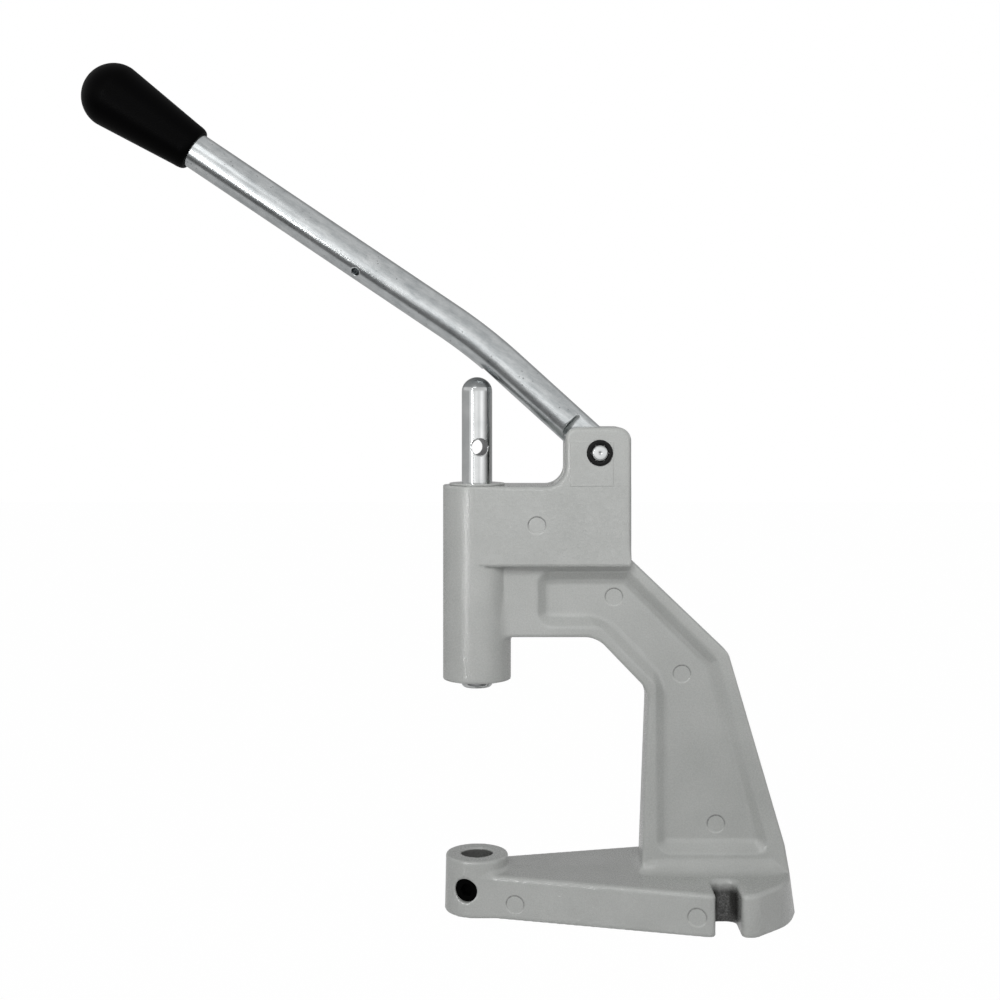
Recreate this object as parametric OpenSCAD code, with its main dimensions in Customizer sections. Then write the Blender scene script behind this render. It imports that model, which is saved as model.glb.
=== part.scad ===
// Hand lever press for snaps, eyelets and rivets.
// X runs from the ram towards the column, Y across the press, Z up.
// The origin lies on the bench, straight below the ram.

/* [Arm and column] */
// Thickness of the arm and column, across the press
web_thick = 22; // [19:0.5:25]
// Height of the arm's underside above the bench
arm_under = 143.3; // [138:1:150]
// Distance from the ram to where the arm's underside turns down
throat_turn_x = 62.1; // [58:1:66]
// Distance from the ram to the column's front face, at its top
throat_reach = 88.8; // [86:0.5:92]
// Height of the corner between the throat's slope and the column
throat_knee = 115.6; // [112:1:119]
// Distance from the ram to the column's front face, at its foot
foot_front = 85.3; // [82:1:88]
// Distance from the ram to the column's back edge, at the knee of the back
back_knee_x = 130.7; // [127:1:135]
// Height of the knee of the back
back_knee = 135.2; // [131:1:139]
// Distance from the ram to the back edge, low on the column
back_low_x = 159.8; // [157:1:161]
// Height where the back edge steepens above the base
back_low = 36; // [32:1:42]
// Radius of both rounded corners of the throat
throat_round = 13; // [8:1:15]
// Radius of the small fillet between boss and arm
boss_fillet = 3.4; // [2:0.2:4]
// Radius of the knee of the back
knee_round = 4; // [2:1:8]

/* [Side pockets] */
// Depth of the pocket in each side
pocket_depth = 4.8; // [3:0.2:6]
// How far the pocket's sloped walls run inwards
pocket_run = 5.3; // [4:0.1:6]
// Distance from the ram to the pocket's front end
pocket_front = 31.4; // [28:0.5:36]
// Rim below the pocket, along the arm's underside
rim_under = 5.7; // [4:0.1:7]
// Rim along the throat's slope
rim_slope = 5.1; // [4:0.1:6]
// Rim at the top of the column's front
rim_front = 3.9; // [3:0.1:5]
// Rim at the foot of the column's front
rim_front_foot = 7.8; // [6:0.1:9]
// Height of the pocket's bottom edge above the base
rim_foot = 9.7; // [9:0.1:12]
// Rim along the back of the column, at its foot
rim_back_foot = 8.2; // [6:0.1:9]
// Rim along the back, at the knee
rim_back = 6.4; // [5:0.1:7]
// Rim between the pocket and the upper block
rim_top = 3.2; // [2:0.1:4]
// Radius of the pocket's corners at the rim
pocket_round = 7.5; // [6:0.5:8]
// Radius of the pocket's blunt corners
pocket_blunt = 4; // [2:0.5:6]

/* [Upper block, boss and ears] */
// Radius of the boss that holds the ram, half the upper block's thickness
boss_r = 17.8; // [17:0.1:19]
// Height of the boss's lower end
boss_low = 120.5; // [117:0.5:124]
// Height of the top of the boss and the block
block_top = 222; // [219:0.5:226]
// Height of the upper block's underside
block_under = 180.8; // [177:0.5:184]
// Distance from the ram to the block's rear face
block_rear = 79.6; // [77:0.5:83]
// Radius of the boss's edges
boss_edge = 0.8; // [0.4:0.1:1.2]
// Distance from the ram to the front of the ears
ear_front = 45.8; // [43:0.5:48]
// Height of the ears' top
ear_top = 252.4; // [250:0.2:255]
// Thickness over both ears
ears_thick = 34.8; // [33:0.2:35.4]
// Radius at the front of the ears' top
ear_front_round = 6; // [3:0.5:7]
// Radius at the rear of the ears' top
ear_rear_round = 7; // [3:0.5:8]
// Radius of the foot of the ears
ear_foot = 10; // [6:0.5:11]
// Width of the slot between the ears
slot_w = 13.5; // [13.2:0.1:14]
// Height of the slot's floor above the block
slot_floor_rise = 0.5; // [0.2:0.1:0.8]
// Height of the flat pad on each ear
pad_rise = 0.25; // [0.1:0.05:0.4]
// Height of the pad's top above the block
pad_tall = 22.6; // [20:0.2:24]

/* [Base and die nose] */
// Thickness of the base
base_thick = 21.8; // [19:0.2:24]
// Distance from the ram to the back of the base, at the bench
base_rear = 165.2; // [163:0.2:168]
// How far the back leans in over the base's thickness
rear_lean = 2.9; // [1:0.1:3.5]
// Half the base's width at the ram, where its sides start
base_half_front = 14.3; // [13:0.1:15]
// Angle by which each side spreads
base_spread = 14.2; // [12:0.2:16]
// Half the base's width behind the bolt slots
base_half_rear = 44.4; // [42:0.2:46]
// Distance from the ram to the front wall of the bolt slots
slot_front = 119.2; // [115:0.2:121]
// Width of the bolt slots
bolt_slot_w = 12.8; // [11:0.2:13.4]
// Distance from the middle of the base to the slots' inner end
bolt_slot_in = 21.5; // [20.5:0.1:24]
// Radius of the corners at the slots' inner end
bolt_slot_round = 4.5; // [3:0.1:5]
// Radius of the base's upper edge
base_top_round = 2.6; // [1:0.1:3]
// Radius of the base's lower edge
base_low_round = 1.2; // [0.5:0.1:1.6]
// Radius of the hollow between column and base
foot_cove = 8; // [6:0.5:9]
// Radius of the die nose at the bench
nose_r = 16.8; // [16.4:0.1:18]
// Radius of the die nose at its top
nose_top_r = 16.2; // [15.6:0.1:16.4]
// Height of the die nose
nose_h = 29; // [27:0.5:32]
// Radius of the edge round the die nose's top
nose_edge = 1; // [0.5:0.1:1.5]
// Radius of the die socket
socket_r = 8.5; // [7.5:0.1:9]
// Depth of the die socket
socket_deep = 25; // [20:0.5:26]

/* [Mould marks] */
// Radius of the round marks left by the mould
mark_r = 4.6; // [4:0.1:5]
// Depth of the marks
mark_deep = 0.3; // [0.1:0.05:0.5]

/* [Ram] */
// Radius of the ram
ram_r = 8; // [7.5:0.1:8.4]
// How far the ram stands out below the boss
ram_below = 4.2; // [3:0.1:6]
// How far the ram stands out above the boss, with its dome
ram_above = 56.4; // [54:0.2:57]
// Radius of the dome's curve
dome_r = 8.2; // [8.15:0.05:9]
// Chamfer at the ram's lower end
ram_chamfer = 1; // [0.4:0.1:1.5]
// Radius of the cross hole
cross_r = 4.25; // [3.5:0.05:4.5]
// Height of the cross hole above the boss
cross_up = 19.8; // [17:0.2:23]
// How far the ram stands turned, seen from above
ram_turned = 13; // [0:1:45]
// Radius of the die thread's hole in the ram
thread_r = 2.5; // [2:0.1:3]
// Depth of the die thread's hole
thread_deep = 16; // [10:0.5:18]

/* [Guide bushes and spring] */
// Radius of the spring chamber in the boss
chamber_r = 11.5; // [11.3:0.1:12]
// Height of the chamber's floor
chamber_floor = 150; // [148:0.5:154]
// Length of the top guide bush inside the boss
top_bush_len = 16; // [14:0.5:18]
// Radius of the top bush's collar
collar_r = 14.5; // [13:0.1:15]
// Height of the top bush's collar
collar_h = 1; // [0.6:0.1:1.4]
// Radius of the lower bush
low_bush_r = 10; // [9.5:0.1:10.4]
// Thickness of the lower bush's flange, on which the spring stands
low_flange = 2; // [1.5:0.1:3]
// Thickness of the washer over the spring
washer_thick = 1.5; // [1:0.1:2]
// Thickness of the snap ring on the ram
snap_thick = 1.5; // [1.2:0.1:2]
// How deep the snap ring's groove is
snap_groove = 1; // [0.6:0.1:1.2]
// Width of the snap ring
snap_wide = 3.2; // [2.6:0.1:3.3]
// Angle of the snap ring's opening
snap_gap_angle = 36; // [20:1:50]
// Diameter of the spring's wire
wire_d = 1.7; // [1.4:0.05:1.9]
// Number of turns of the spring
spring_turns = 10; // [8:1:11]
// Rise of each closed turn at the spring's ends
end_pitch = 2.4; // [2.35:0.05:2.6]

/* [Pivot] */
// Distance from the ram to the lever's pivot
pivot_x = 63.3; // [62.5:0.1:64]
// Height of the pivot above the block
pivot_up = 17.3; // [17:0.1:17.6]
// Radius of the pivot pin
pin_r = 4; // [3.5:0.1:4.3]
// Chamfer at the pin's ends
pin_chamfer = 0.6; // [0.2:0.1:0.8]
// How far the pin stands out past each lock ring
pin_proud = 1.2; // [0.6:0.1:1.6]
// Radius of the lock rings
ring_r = 6.75; // [6.2:0.05:7]
// Height of the lock rings
ring_h = 1.5; // [1.2:0.1:1.8]
// Sheet thickness of the lock rings
ring_sheet = 0.5; // [0.4:0.05:0.6]
// Radius of the sleeve in the lever's tongue
sleeve_r = 5; // [4.8:0.1:5.5]

/* [Lever] */
// Radius of the lever's bar
bar_r = 9.5; // [9.3:0.05:9.6]
// Slope of the lever beside the pivot, above level
lever_slope = 42.2; // [42.2:0.1:43]
// Angle by which the bar is bent
bend_angle = 8.3; // [4:0.1:12]
// Radius of the bend
bend_r = 275; // [240:5:300]
// Distance from the pivot to the corner of the bend
bend_out = 84.8; // [80:0.2:90]
// Distance from the bend's corner to the bar's end, inside the grip
bar_out = 236; // [225:1:240]
// How far the bar's middle line lies above the pivot
bar_lift = 1.15; // [0.9:0.05:1.4]
// Depth of the flat along the bar's underside
flat_deep = 0.4; // [0.2:0.05:0.6]
// Distance from the pivot to the far end of that flat
flat_far = 74; // [72:0.5:78]
// Thickness of the tongue
tongue_thick = 12.8; // [12.2:0.1:12.9]
// Distance from the pivot to the tongue's shoulder
tongue_out = 21.8; // [21.6:0.1:24]
// How far the tongue's tail runs past the pivot
tail_out = 15.7; // [14:0.1:15.7]
// Radius of the tail's upper corner
tail_round = 9; // [8.5:0.1:10]
// Radius of the small hole in the bar
vent_r = 2.25; // [1.5:0.05:2.5]
// Distance of the small hole from the bend's corner
vent_out = 73.6; // [60:0.2:90]
// How far the small hole is turned down from the side
vent_turn = 41; // [0:1:60]
// Depth of the small hole
vent_deep = 9; // [6:0.5:12]

/* [Grip] */
// Distance from the bend's corner to the grip's open end
grip_start = 179.9; // [172:0.5:185]
// Length of the grip
grip_len = 69.3; // [66:0.1:74]
// Largest radius of the grip
grip_r = 17.9; // [16:0.1:20]
// Length of the grip's rounded end
grip_dome = 18; // [15:0.5:22]
// Radius of the grip near its open end
grip_neck_r = 12.9; // [12:0.1:14]
// Length of the rounding at the open end
grip_lip = 5.5; // [4:0.1:7]
// Radius of the flat rim at the open end
grip_mouth_r = 10.8; // [10.3:0.1:11.5]

/* [Die clamp screw] */
// Radius of the screw's hole in the nose
clamp_hole_r = 6.1; // [5:0.1:6.3]
// Height of the screw's axis
clamp_up = 13.8; // [12:0.1:15]
// How far the screw points away from the near side, towards the front
clamp_turn = 21; // [0:1:40]
// Length of the screw
clamp_len = 5.6; // [4:0.1:6]
// Width across the flats of the screw's socket
clamp_hex = 6; // [4:0.1:6.5]
// Depth of the screw's socket
clamp_hex_deep = 3.4; // [2:0.1:3.8]

/* [Clearances] */
// Radial running clearance of the ram, the sleeve and the clamp screw
run_gap = 0.05; // [0.02:0.01:0.09]
// Gap left where a part only rests near another
rest_gap = 0.3; // [0.25:0.01:0.35]
// Radial clearance round the washer and inside it
washer_gap = 0.3; // [0.2:0.05:0.4]

/* [Hidden] */
$fn = 96;

// How far cuts run past the faces that they open
overrun = 1;
// How far a joined form reaches into its neighbour
bite = 0.05;
// Steps in a rounded corner, and in the small rounds of edges
arc_steps = 6;
edge_steps = 4;
// Sides of the lever's bar
bar_sides = 48;
// Rings per turn and sides of the spring's wire
turn_rings = 8;
wire_sides = 6;

web_half = web_thick / 2;
ears_half = ears_thick / 2;
slot_rear = slot_front + bolt_slot_w;
// The base starts inside the die nose, ahead of the ram
base_start = -nose_r / 2;
base_half_mid = base_half_front + slot_front * tan(base_spread);
// Radius of the slots' outer corners, and of the base's rear corners
mouth_round = bolt_slot_in / 6;
rear_corner_round = base_half_rear / 5;
// Where the base's rear side and its back meet, and their large round
rear_meet_y = base_half_rear * 0.47;
rear_meet_x = base_rear - base_half_rear * 0.58;
rear_round = base_half_rear * 0.82;
// How far the base's back leans in per unit of height
lean_share = rear_lean / base_thick;

pivot = [pivot_x, block_top + pivot_up];
slot_floor = block_top + slot_floor_rise;
pad_face = ears_half + pad_rise;
pin_half = pad_face + ring_h + pin_proud;
// The pad starts and ends on the ear at these distances from the pivot
pad_back = pivot_x + pin_r * 1.78;
pad_ahead = ear_front + pin_r * 0.6;

// Levels inside the boss
bush_end = block_top - top_bush_len;
snap_top = bush_end - rest_gap;
snap_low = snap_top - snap_thick;
spring_top = snap_low - washer_thick;
spring_low = chamber_floor + low_flange;
spring_r = chamber_r - rest_gap * 2 - wire_d / 2;
ram_low = boss_low - ram_below;
ram_top = block_top + ram_above;

// The lever's own frame: x from the pivot towards the grip, y up from the underside
flat_y = bar_lift - bar_r + flat_deep;
bend_run = bend_r * tan(bend_angle / 2);
tongue_half = tongue_thick / 2;
shoulder_r = bar_r - tongue_half;

function unit(v) = v / norm(v);
function left_of(v) = [-v.y, v.x];

// Points of an arc of radius r that rounds the corner b between a and c
function corner(a, b, c, r, steps) =
    let (
        u = unit(a - b),
        v = unit(c - b),
        half = acos(u * v) / 2,
        m = b + unit(u + v) * r / sin(half),
        p = b + u * r / tan(half) - m,
        q = b + v * r / tan(half) - m,
        from = atan2(p.y, p.x),
        turn = (atan2(q.y, q.x) - from + 540) % 360 - 180
    )
    [for (i = [0:steps]) m + r * [cos(from + turn * i / steps), sin(from + turn * i / steps)]];

// A closed outline with each corner rounded by its own radius; a radius of zero keeps the corner sharp
function rounded(pts, radii, steps = arc_steps) =
    let (n = len(pts))
    [for (i = [0:n - 1])
        each radii[i] == 0
            ? [pts[i]]
            : corner(pts[(i + n - 1) % n], pts[i], pts[(i + 1) % n], radii[i], steps)];

// A line drawn beside p and q, ra to the left of p and rb to the left of q
function rim_line(p, q, ra, rb) =
    let (n = left_of(unit(q - p)))
    [p + n * ra, q + n * rb];

// The point where two lines cross
function meet(l, k) =
    let (
        d = l[1] - l[0],
        e = k[1] - k[0],
        t = ((k[0].x - l[0].x) * e.y - (k[0].y - l[0].y) * e.x) / (d.x * e.y - d.y * e.x)
    )
    l[0] + d * t;

// Where the line through p and q passes the height z
function along(p, q, z) = p.x + (q.x - p.x) * (z - p.y) / (q.y - p.y);

// The outline pts moved inwards by d; pts runs with its inside on the left
function inset(pts, d) =
    let (n = len(pts))
    [for (i = [0:n - 1])
        let (
            a = left_of(unit(pts[i] - pts[(i + n - 1) % n])),
            b = left_of(unit(pts[(i + 1) % n] - pts[i]))
        )
        pts[i] + (a + b) * d / (1 + a * b)];

// Whether each corner of pts turns outwards (1) or inwards (-1)
function turns(pts) =
    let (n = len(pts))
    [for (i = [0:n - 1])
        let (u = pts[i] - pts[(i + n - 1) % n], v = pts[(i + 1) % n] - pts[i])
        sign(u.x * v.y - u.y * v.x)];

// A solid skinned over a stack of rings that have as many points each
module loft(rings) {
    n = len(rings[0]);
    last = (len(rings) - 1) * n;
    polyhedron(
        points = [for (r = rings) each r],
        faces = [
            [for (i = [0:n - 1]) i],
            [for (i = [n - 1:-1:0]) last + i],
            for (j = [0:len(rings) - 2])
                for (i = [0:n - 1])
                    let (a = j * n + i, b = j * n + (i + 1) % n)
                    each [[a, a + n, b + n], [a, b + n, b]]
        ]
    );
}

// An outline in X and Z, drawn out to the same distance on both sides
module side_plate(pts, half)
    rotate([90, 0, 0])
        linear_extrude(half * 2, center = true)
            polygon(pts);

// Everything that stands once on each side of the press
module both_sides() {
    children();
    mirror([0, 1, 0])
        children();
}

// A round bar from y = from to y = to, through a point in X and Z
module cross_bar(at, r, from, to)
    translate([at.x, from, at.y])
        rotate([-90, 0, 0])
            cylinder(h = to - from, r = r);

// Corners of the arm and column, seen from the side, with the inside on the left
function base_back(z) = base_rear - z * lean_share;
web_pts = [
    [0, arm_under],
    [throat_turn_x, arm_under],
    [throat_reach, throat_knee],
    [foot_front, base_thick],
    [base_back(base_thick), base_thick],
    [back_low_x, back_low],
    [back_knee_x, back_knee],
    [block_rear, block_under + rim_top],
    [0, block_under]
];

module arm_and_column() {
    front_root = web_pts[3] + unit(web_pts[3] - web_pts[2]) * base_thick / 3;
    back_root = web_pts[4] + unit(web_pts[4] - web_pts[5]) * base_thick / 3;
    side_plate(
        rounded(
            [
                [0, arm_under - boss_fillet],
                [boss_r, arm_under - boss_fillet],
                [boss_r, arm_under],
                web_pts[1],
                web_pts[2],
                front_root,
                back_root,
                web_pts[5],
                web_pts[6],
                web_pts[7],
                web_pts[7] + [-rim_top, rim_top],
                [0, block_under + rim_top * 2]
            ],
            [0, 0, 0, throat_round, throat_round, 0, 0, throat_round, knee_round, 0, 0, 0]
        ),
        web_half
    );
    // The fillet between the boss and the arm's underside
    difference() {
        side_plate(
            [
                [boss_r - boss_fillet, arm_under - boss_fillet],
                [boss_r + boss_fillet, arm_under - boss_fillet],
                [boss_r + boss_fillet, arm_under + bite],
                [boss_r - boss_fillet, arm_under + bite]
            ],
            web_half
        );
        cross_bar([boss_r + boss_fillet, arm_under - boss_fillet], boss_fillet,
            -web_half - overrun, web_half + overrun);
    }
}

// The pocket's outline, its walls moved in by d
function pocket_pts(d) =
    let (
        under = rim_line(web_pts[0], web_pts[1], rim_under + d, rim_under + d),
        slope = rim_line(web_pts[1], web_pts[2], rim_slope + d, rim_slope + d),
        front = rim_line(web_pts[2], web_pts[3], rim_front + d, rim_front_foot + d),
        foot = rim_line(web_pts[3], web_pts[4], rim_foot + d, rim_foot + d),
        back = rim_line(web_pts[5], web_pts[6], rim_back_foot + d, rim_back + d),
        top = rim_line(web_pts[6], web_pts[7], rim_back + d, rim_slope + d),
        lid = rim_line([block_rear, block_under], web_pts[8], rim_top + d, rim_top + d),
        end = [[pocket_front + d, block_under], [pocket_front + d, arm_under]]
    )
    [meet(end, under), meet(under, slope), meet(slope, front), meet(front, foot),
        meet(foot, back), meet(back, top), meet(top, lid), meet(lid, end)];

// One side's pocket: its walls slope in from the rim to the floor
module pocket() {
    steep = pocket_run / pocket_depth;
    blunt = pocket_blunt;
    deep_share = 0.55;
    radii = [pocket_round, blunt, blunt, pocket_round, pocket_round, blunt, blunt, pocket_round];
    rim = rounded(pocket_pts(-overrun * steep), radii);
    deep_line = rounded(pocket_pts(pocket_run + overrun * steep), radii * deep_share);
    difference() {
        loft([
            [for (p = deep_line) [p.x, -web_half + pocket_depth + overrun, p.y]],
            [for (p = rim) [p.x, -web_half - overrun, p.y]]
        ]);
        // Levels the floor
        translate([0, -web_half + pocket_depth, 0])
            cube([base_rear, web_half, ear_top]);
    }
}

module boss()
    rotate_extrude()
        polygon(rounded(
            [[0, boss_low], [boss_r, boss_low], [boss_r, block_top], [0, block_top]],
            [0, boss_edge, boss_edge, 0],
            edge_steps
        ));

module upper_block()
    translate([0, -boss_r, block_under])
        cube([block_rear, boss_r * 2, block_top - block_under]);

// The ears with the curved foot in front of them
module ears() {
    side_plate(
        rounded(
            [
                [ear_front, block_top - ear_foot],
                [block_rear, block_top - ear_foot],
                [block_rear, ear_top],
                [ear_front, ear_top]
            ],
            [0, 0, ear_rear_round, ear_front_round]
        ),
        ears_half
    );
    difference() {
        translate([ear_front - ear_foot, -ears_half, block_top - ear_foot])
            cube([ear_foot + bite, ears_half * 2, ear_foot * 2]);
        cross_bar([ear_front - ear_foot, block_top + ear_foot], ear_foot,
            -ears_half - overrun, ears_half + overrun);
    }
    translate([pad_ahead, -pad_face, block_top - ear_foot])
        cube([pad_back - pad_ahead, pad_face * 2, pad_tall + ear_foot]);
}

// The base's outline, moved in by d, with its back at rear; the inside is on the left
function base_pts(rear) =
    let (
        near = [
            [base_start, -base_half_front - base_start * tan(base_spread)],
            [slot_front, -base_half_mid],
            [slot_front, -bolt_slot_in],
            [slot_rear, -bolt_slot_in],
            [slot_rear, -base_half_rear],
            [rear_meet_x, -base_half_rear],
            [rear, -rear_meet_y]
        ],
        n = len(near)
    )
    [each near, for (i = [n - 1:-1:0]) [near[i].x, -near[i].y]];

base_radii = [0, mouth_round, bolt_slot_round, bolt_slot_round, mouth_round, rear_corner_round,
    rear_round, rear_round, rear_corner_round, mouth_round, bolt_slot_round, bolt_slot_round,
    mouth_round, 0];

function base_ring(z, d) =
    let (
        pts = base_pts(base_back(z)),
        bend = turns(pts),
        radii = [for (i = [0:len(pts) - 1])
            base_radii[i] == 0 ? 0 : max(base_radii[i] - bend[i] * d, bite)]
    )
    [for (p = rounded(inset(pts, d), radii)) [p.x, p.y, z]];

module base_plate() {
    low = base_low_round;
    high = base_top_round;
    difference() {
        loft([
            base_ring(0, low / 2),
            base_ring(low / 2, 0),
            for (i = [0:edge_steps])
                let (a = 90 * i / edge_steps)
                base_ring(base_thick - bite - high + high * sin(a), high * (1 - cos(a))),
            base_ring(base_thick + overrun, high)
        ]);
        // Levels the top to one flat face
        translate([-base_rear, -base_rear, base_thick])
            cube([base_rear * 3, base_rear * 2, base_thick]);
    }
}

// The hollow that leads from the column's faces down to the base
module foot_hollow() {
    front_share = 0.4;
    round_share = 0.8;
    function ring(z, grow) =
        let (
            x0 = along(web_pts[3], web_pts[2], z) + bite - grow * front_share,
            x1 = along(web_pts[4], web_pts[5], z) - bite - base_top_round * grow / foot_cove,
            y = web_half - bite + grow,
            r = bite + grow * round_share
        )
        [for (p = rounded([[x0, -y], [x1, -y], [x1, y], [x0, y]], [r, 0, 0, r], edge_steps))
            [p.x, p.y, z]];
    loft([
        ring(base_thick - overrun, foot_cove + overrun),
        for (i = [1:edge_steps])
            let (a = 90 * i / edge_steps)
            ring(base_thick + foot_cove * (1 - cos(a)), foot_cove * (1 - sin(a)))
    ]);
}

module die_nose()
    rotate_extrude()
        polygon(rounded(
            [[0, bite], [nose_r, bite], [nose_top_r, nose_h], [0, nose_h]],
            [0, base_low_round, nose_edge, 0],
            edge_steps
        ));

// Round marks left by the mould's ejector pins, on one side
module mould_marks() {
    // Places as shares of the block's length and of the heights of block, back knee and base
    block_shares = [0.39, 0.51];
    pocket_shares = [[0.897, 1.212], [1.342, 0.916], [1.564, 0.338]];
    side_shares = [[0.166, 0.372], [0.923, 0.436]];
    cross_bar([block_rear * block_shares.x, block_under + (block_top - block_under) * block_shares.y],
        mark_r, -boss_r - overrun, -boss_r + mark_deep);
    for (m = pocket_shares)
        cross_bar([block_rear * m.x, back_knee * m.y], mark_r,
            -web_half, -web_half + pocket_depth + mark_deep);
    for (m = side_shares)
        translate([
            slot_front * m.x,
            -base_half_front - slot_front * m.x * tan(base_spread),
            base_thick * m.y
        ])
            rotate([0, 0, -base_spread])
                cross_bar([0, 0], mark_r, -overrun, mark_deep);
}

module frame_casting()
    color([0.64, 0.65, 0.64])
        difference() {
            union() {
                base_plate();
                die_nose();
                foot_hollow();
                arm_and_column();
                upper_block();
                boss();
                ears();
            }
            both_sides()
                pocket();
            both_sides()
                mould_marks();
            // Slot for the lever's tongue, open at the front, the top and the rear
            translate([ear_front - ear_foot * 2, -slot_w / 2, slot_floor])
                cube([block_rear - ear_front + ear_foot * 4, slot_w, ear_top]);
            cross_bar(pivot, pin_r, -pad_face - overrun, pad_face + overrun);
            // Lower bore, spring chamber and die socket
            translate([0, 0, boss_low - overrun])
                cylinder(h = block_top, r = low_bush_r);
            translate([0, 0, chamber_floor])
                cylinder(h = block_top, r = chamber_r);
            translate([0, 0, nose_h - socket_deep])
                cylinder(h = socket_deep + overrun, r = socket_r);
            clamp_axis()
                cylinder(h = nose_r + overrun, r = clamp_hole_r);
        }

module top_guide_bush()
    color([0.66, 0.67, 0.66])
        difference() {
            union() {
                translate([0, 0, bush_end])
                    cylinder(h = top_bush_len, r = chamber_r);
                translate([0, 0, block_top])
                    cylinder(h = collar_h, r = collar_r);
            }
            translate([0, 0, bush_end - overrun])
                cylinder(h = top_bush_len + collar_h + overrun * 2, r = ram_r + run_gap);
        }

module lower_guide_bush()
    color([0.72, 0.56, 0.33])
        difference() {
            union() {
                translate([0, 0, boss_low + boss_edge])
                    cylinder(h = chamber_floor - boss_low - boss_edge, r = low_bush_r);
                translate([0, 0, chamber_floor])
                    cylinder(h = low_flange, r = chamber_r - washer_gap);
            }
            translate([0, 0, boss_low - overrun])
                cylinder(h = spring_low - boss_low + overrun * 2, r = ram_r + run_gap);
        }

module ram() {
    edge = asin(ram_r / dome_r);
    // The dome meets the side where its own curve is ram_r wide
    dome = [for (i = [arc_steps:-1:1])
        let (a = edge * i / arc_steps)
        [dome_r * sin(a), ram_top - dome_r * (1 - cos(a))]];
    color([0.78, 0.79, 0.79])
        difference() {
            rotate_extrude()
                polygon([
                    [0, ram_low],
                    [ram_r - ram_chamfer, ram_low],
                    [ram_r, ram_low + ram_chamfer],
                    each dome,
                    [0, ram_top]
                ]);
            // Groove of the snap ring
            translate([0, 0, snap_low])
                difference() {
                    cylinder(h = snap_thick, r = ram_r + overrun);
                    translate([0, 0, -overrun])
                        cylinder(h = snap_thick + overrun * 2, r = ram_r - snap_groove);
                }
            translate([0, 0, ram_low - overrun])
                cylinder(h = thread_deep + overrun, r = thread_r);
            rotate([0, 0, ram_turned])
                cross_bar([0, block_top + cross_up], cross_r, -ram_r - overrun, ram_r + overrun);
        }
}

module ram_retaining_ring()
    color([0.2, 0.2, 0.21])
        rotate([0, 0, ram_turned + snap_gap_angle / 2])
            rotate_extrude(angle = 360 - snap_gap_angle)
                translate([ram_r - snap_groove, snap_low])
                    square([snap_wide, snap_thick]);

module thrust_washer()
    color([0.75, 0.76, 0.76])
        translate([0, 0, spring_top])
            difference() {
                cylinder(h = washer_thick, r = chamber_r - washer_gap);
                translate([0, 0, -overrun])
                    cylinder(h = washer_thick + overrun * 2, r = ram_r + washer_gap);
            }

// Height of the wire's middle after t turns: closed turns at both ends, open ones between
function wire_z(t) =
    let (
        tall = spring_top - spring_low - wire_d,
        open = (tall - end_pitch * 2) / (spring_turns - 2)
    )
    spring_low + wire_d / 2
        + end_pitch * min(t, 1)
        + open * max(0, min(t - 1, spring_turns - 2))
        + end_pitch * max(0, t - spring_turns + 1);

function wire_at(t) = [spring_r * cos(t * 360), spring_r * sin(t * 360), wire_z(t)];

spring_last = spring_turns * turn_rings;
spring_line = [
    wire_at(0) - [0, wire_d, 0],
    for (i = [0:spring_last]) wire_at(i / turn_rings),
    wire_at(spring_turns) + [0, wire_d, 0]
];
spring_gap = min([for (i = [0:len(spring_line) - turn_rings])
    min([for (j = [i + turn_rings - 2:min(i + turn_rings + 2, len(spring_line) - 1)])
        norm(spring_line[j] - spring_line[i])])]) - wire_d;
echo("least gap of the spring to itself", spring_gap);

// One unbroken wire swept along the points of line
module return_spring() {
    n = len(spring_line);
    rings = [for (i = [0:n - 1])
        let (
            p = spring_line[i],
            t = unit(spring_line[min(i + 1, n - 1)] - spring_line[max(i - 1, 0)]),
            side = unit([p.x, p.y, 0]),
            out = unit(side - t * (side * t)),
            up = cross(t, out)
        )
        [for (k = [0:wire_sides - 1])
            let (a = 360 * k / wire_sides)
            p + (out * cos(a) + up * sin(a)) * wire_d / 2]];
    color([0.6, 0.6, 0.61])
        loft(rings);
}

module pivot_pin()
    color([0.8, 0.81, 0.81])
        translate([pivot.x, 0, pivot.y])
            rotate([-90, 0, 0])
                difference() {
                    rotate_extrude()
                        polygon([
                            [0, -pin_half],
                            [pin_r - pin_chamfer, -pin_half],
                            [pin_r, -pin_half + pin_chamfer],
                            [pin_r, pin_half - pin_chamfer],
                            [pin_r - pin_chamfer, pin_half],
                            [0, pin_half]
                        ]);
                    // Centre marks in both ends
                    for (s = [0, 1])
                        mirror([0, 0, s])
                            translate([0, 0, -pin_half - bite])
                                cylinder(h = pin_chamfer + bite, r1 = pin_chamfer + bite, r2 = 0);
                }

// A pressed ring: a flat rim on the ear, and fingers that rise to grip the pin
module lock_ring() {
    fingers = 6;
    cut_share = 0.12;
    crown_r = pin_r + (ring_r - pin_r) * 0.6;
    difference() {
        rotate_extrude()
            polygon([
                [pin_r, ring_h - ring_sheet],
                [crown_r, ring_h - ring_sheet * 2],
                [crown_r, 0],
                [ring_r, 0],
                [ring_r, ring_sheet],
                [ring_r - ring_sheet, ring_h - ring_sheet],
                [crown_r, ring_h],
                [pin_r, ring_h]
            ]);
        for (i = [0:fingers - 1])
            rotate([0, 0, 360 * (i + 0.5) / fingers])
                translate([pin_r - overrun, -pin_r * cut_share, 0])
                    cube([(ring_r - pin_r) / 3 + overrun, pin_r * cut_share * 2, ring_h + overrun]);
    }
}

module lock_ring_near()
    color([0.1, 0.1, 0.11])
        translate([pivot.x, -pad_face, pivot.y])
            rotate([90, 0, 0])
                lock_ring();

module lock_ring_far()
    color([0.1, 0.1, 0.11])
        translate([pivot.x, pad_face, pivot.y])
            rotate([-90, 0, 0])
                lock_ring();

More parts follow.
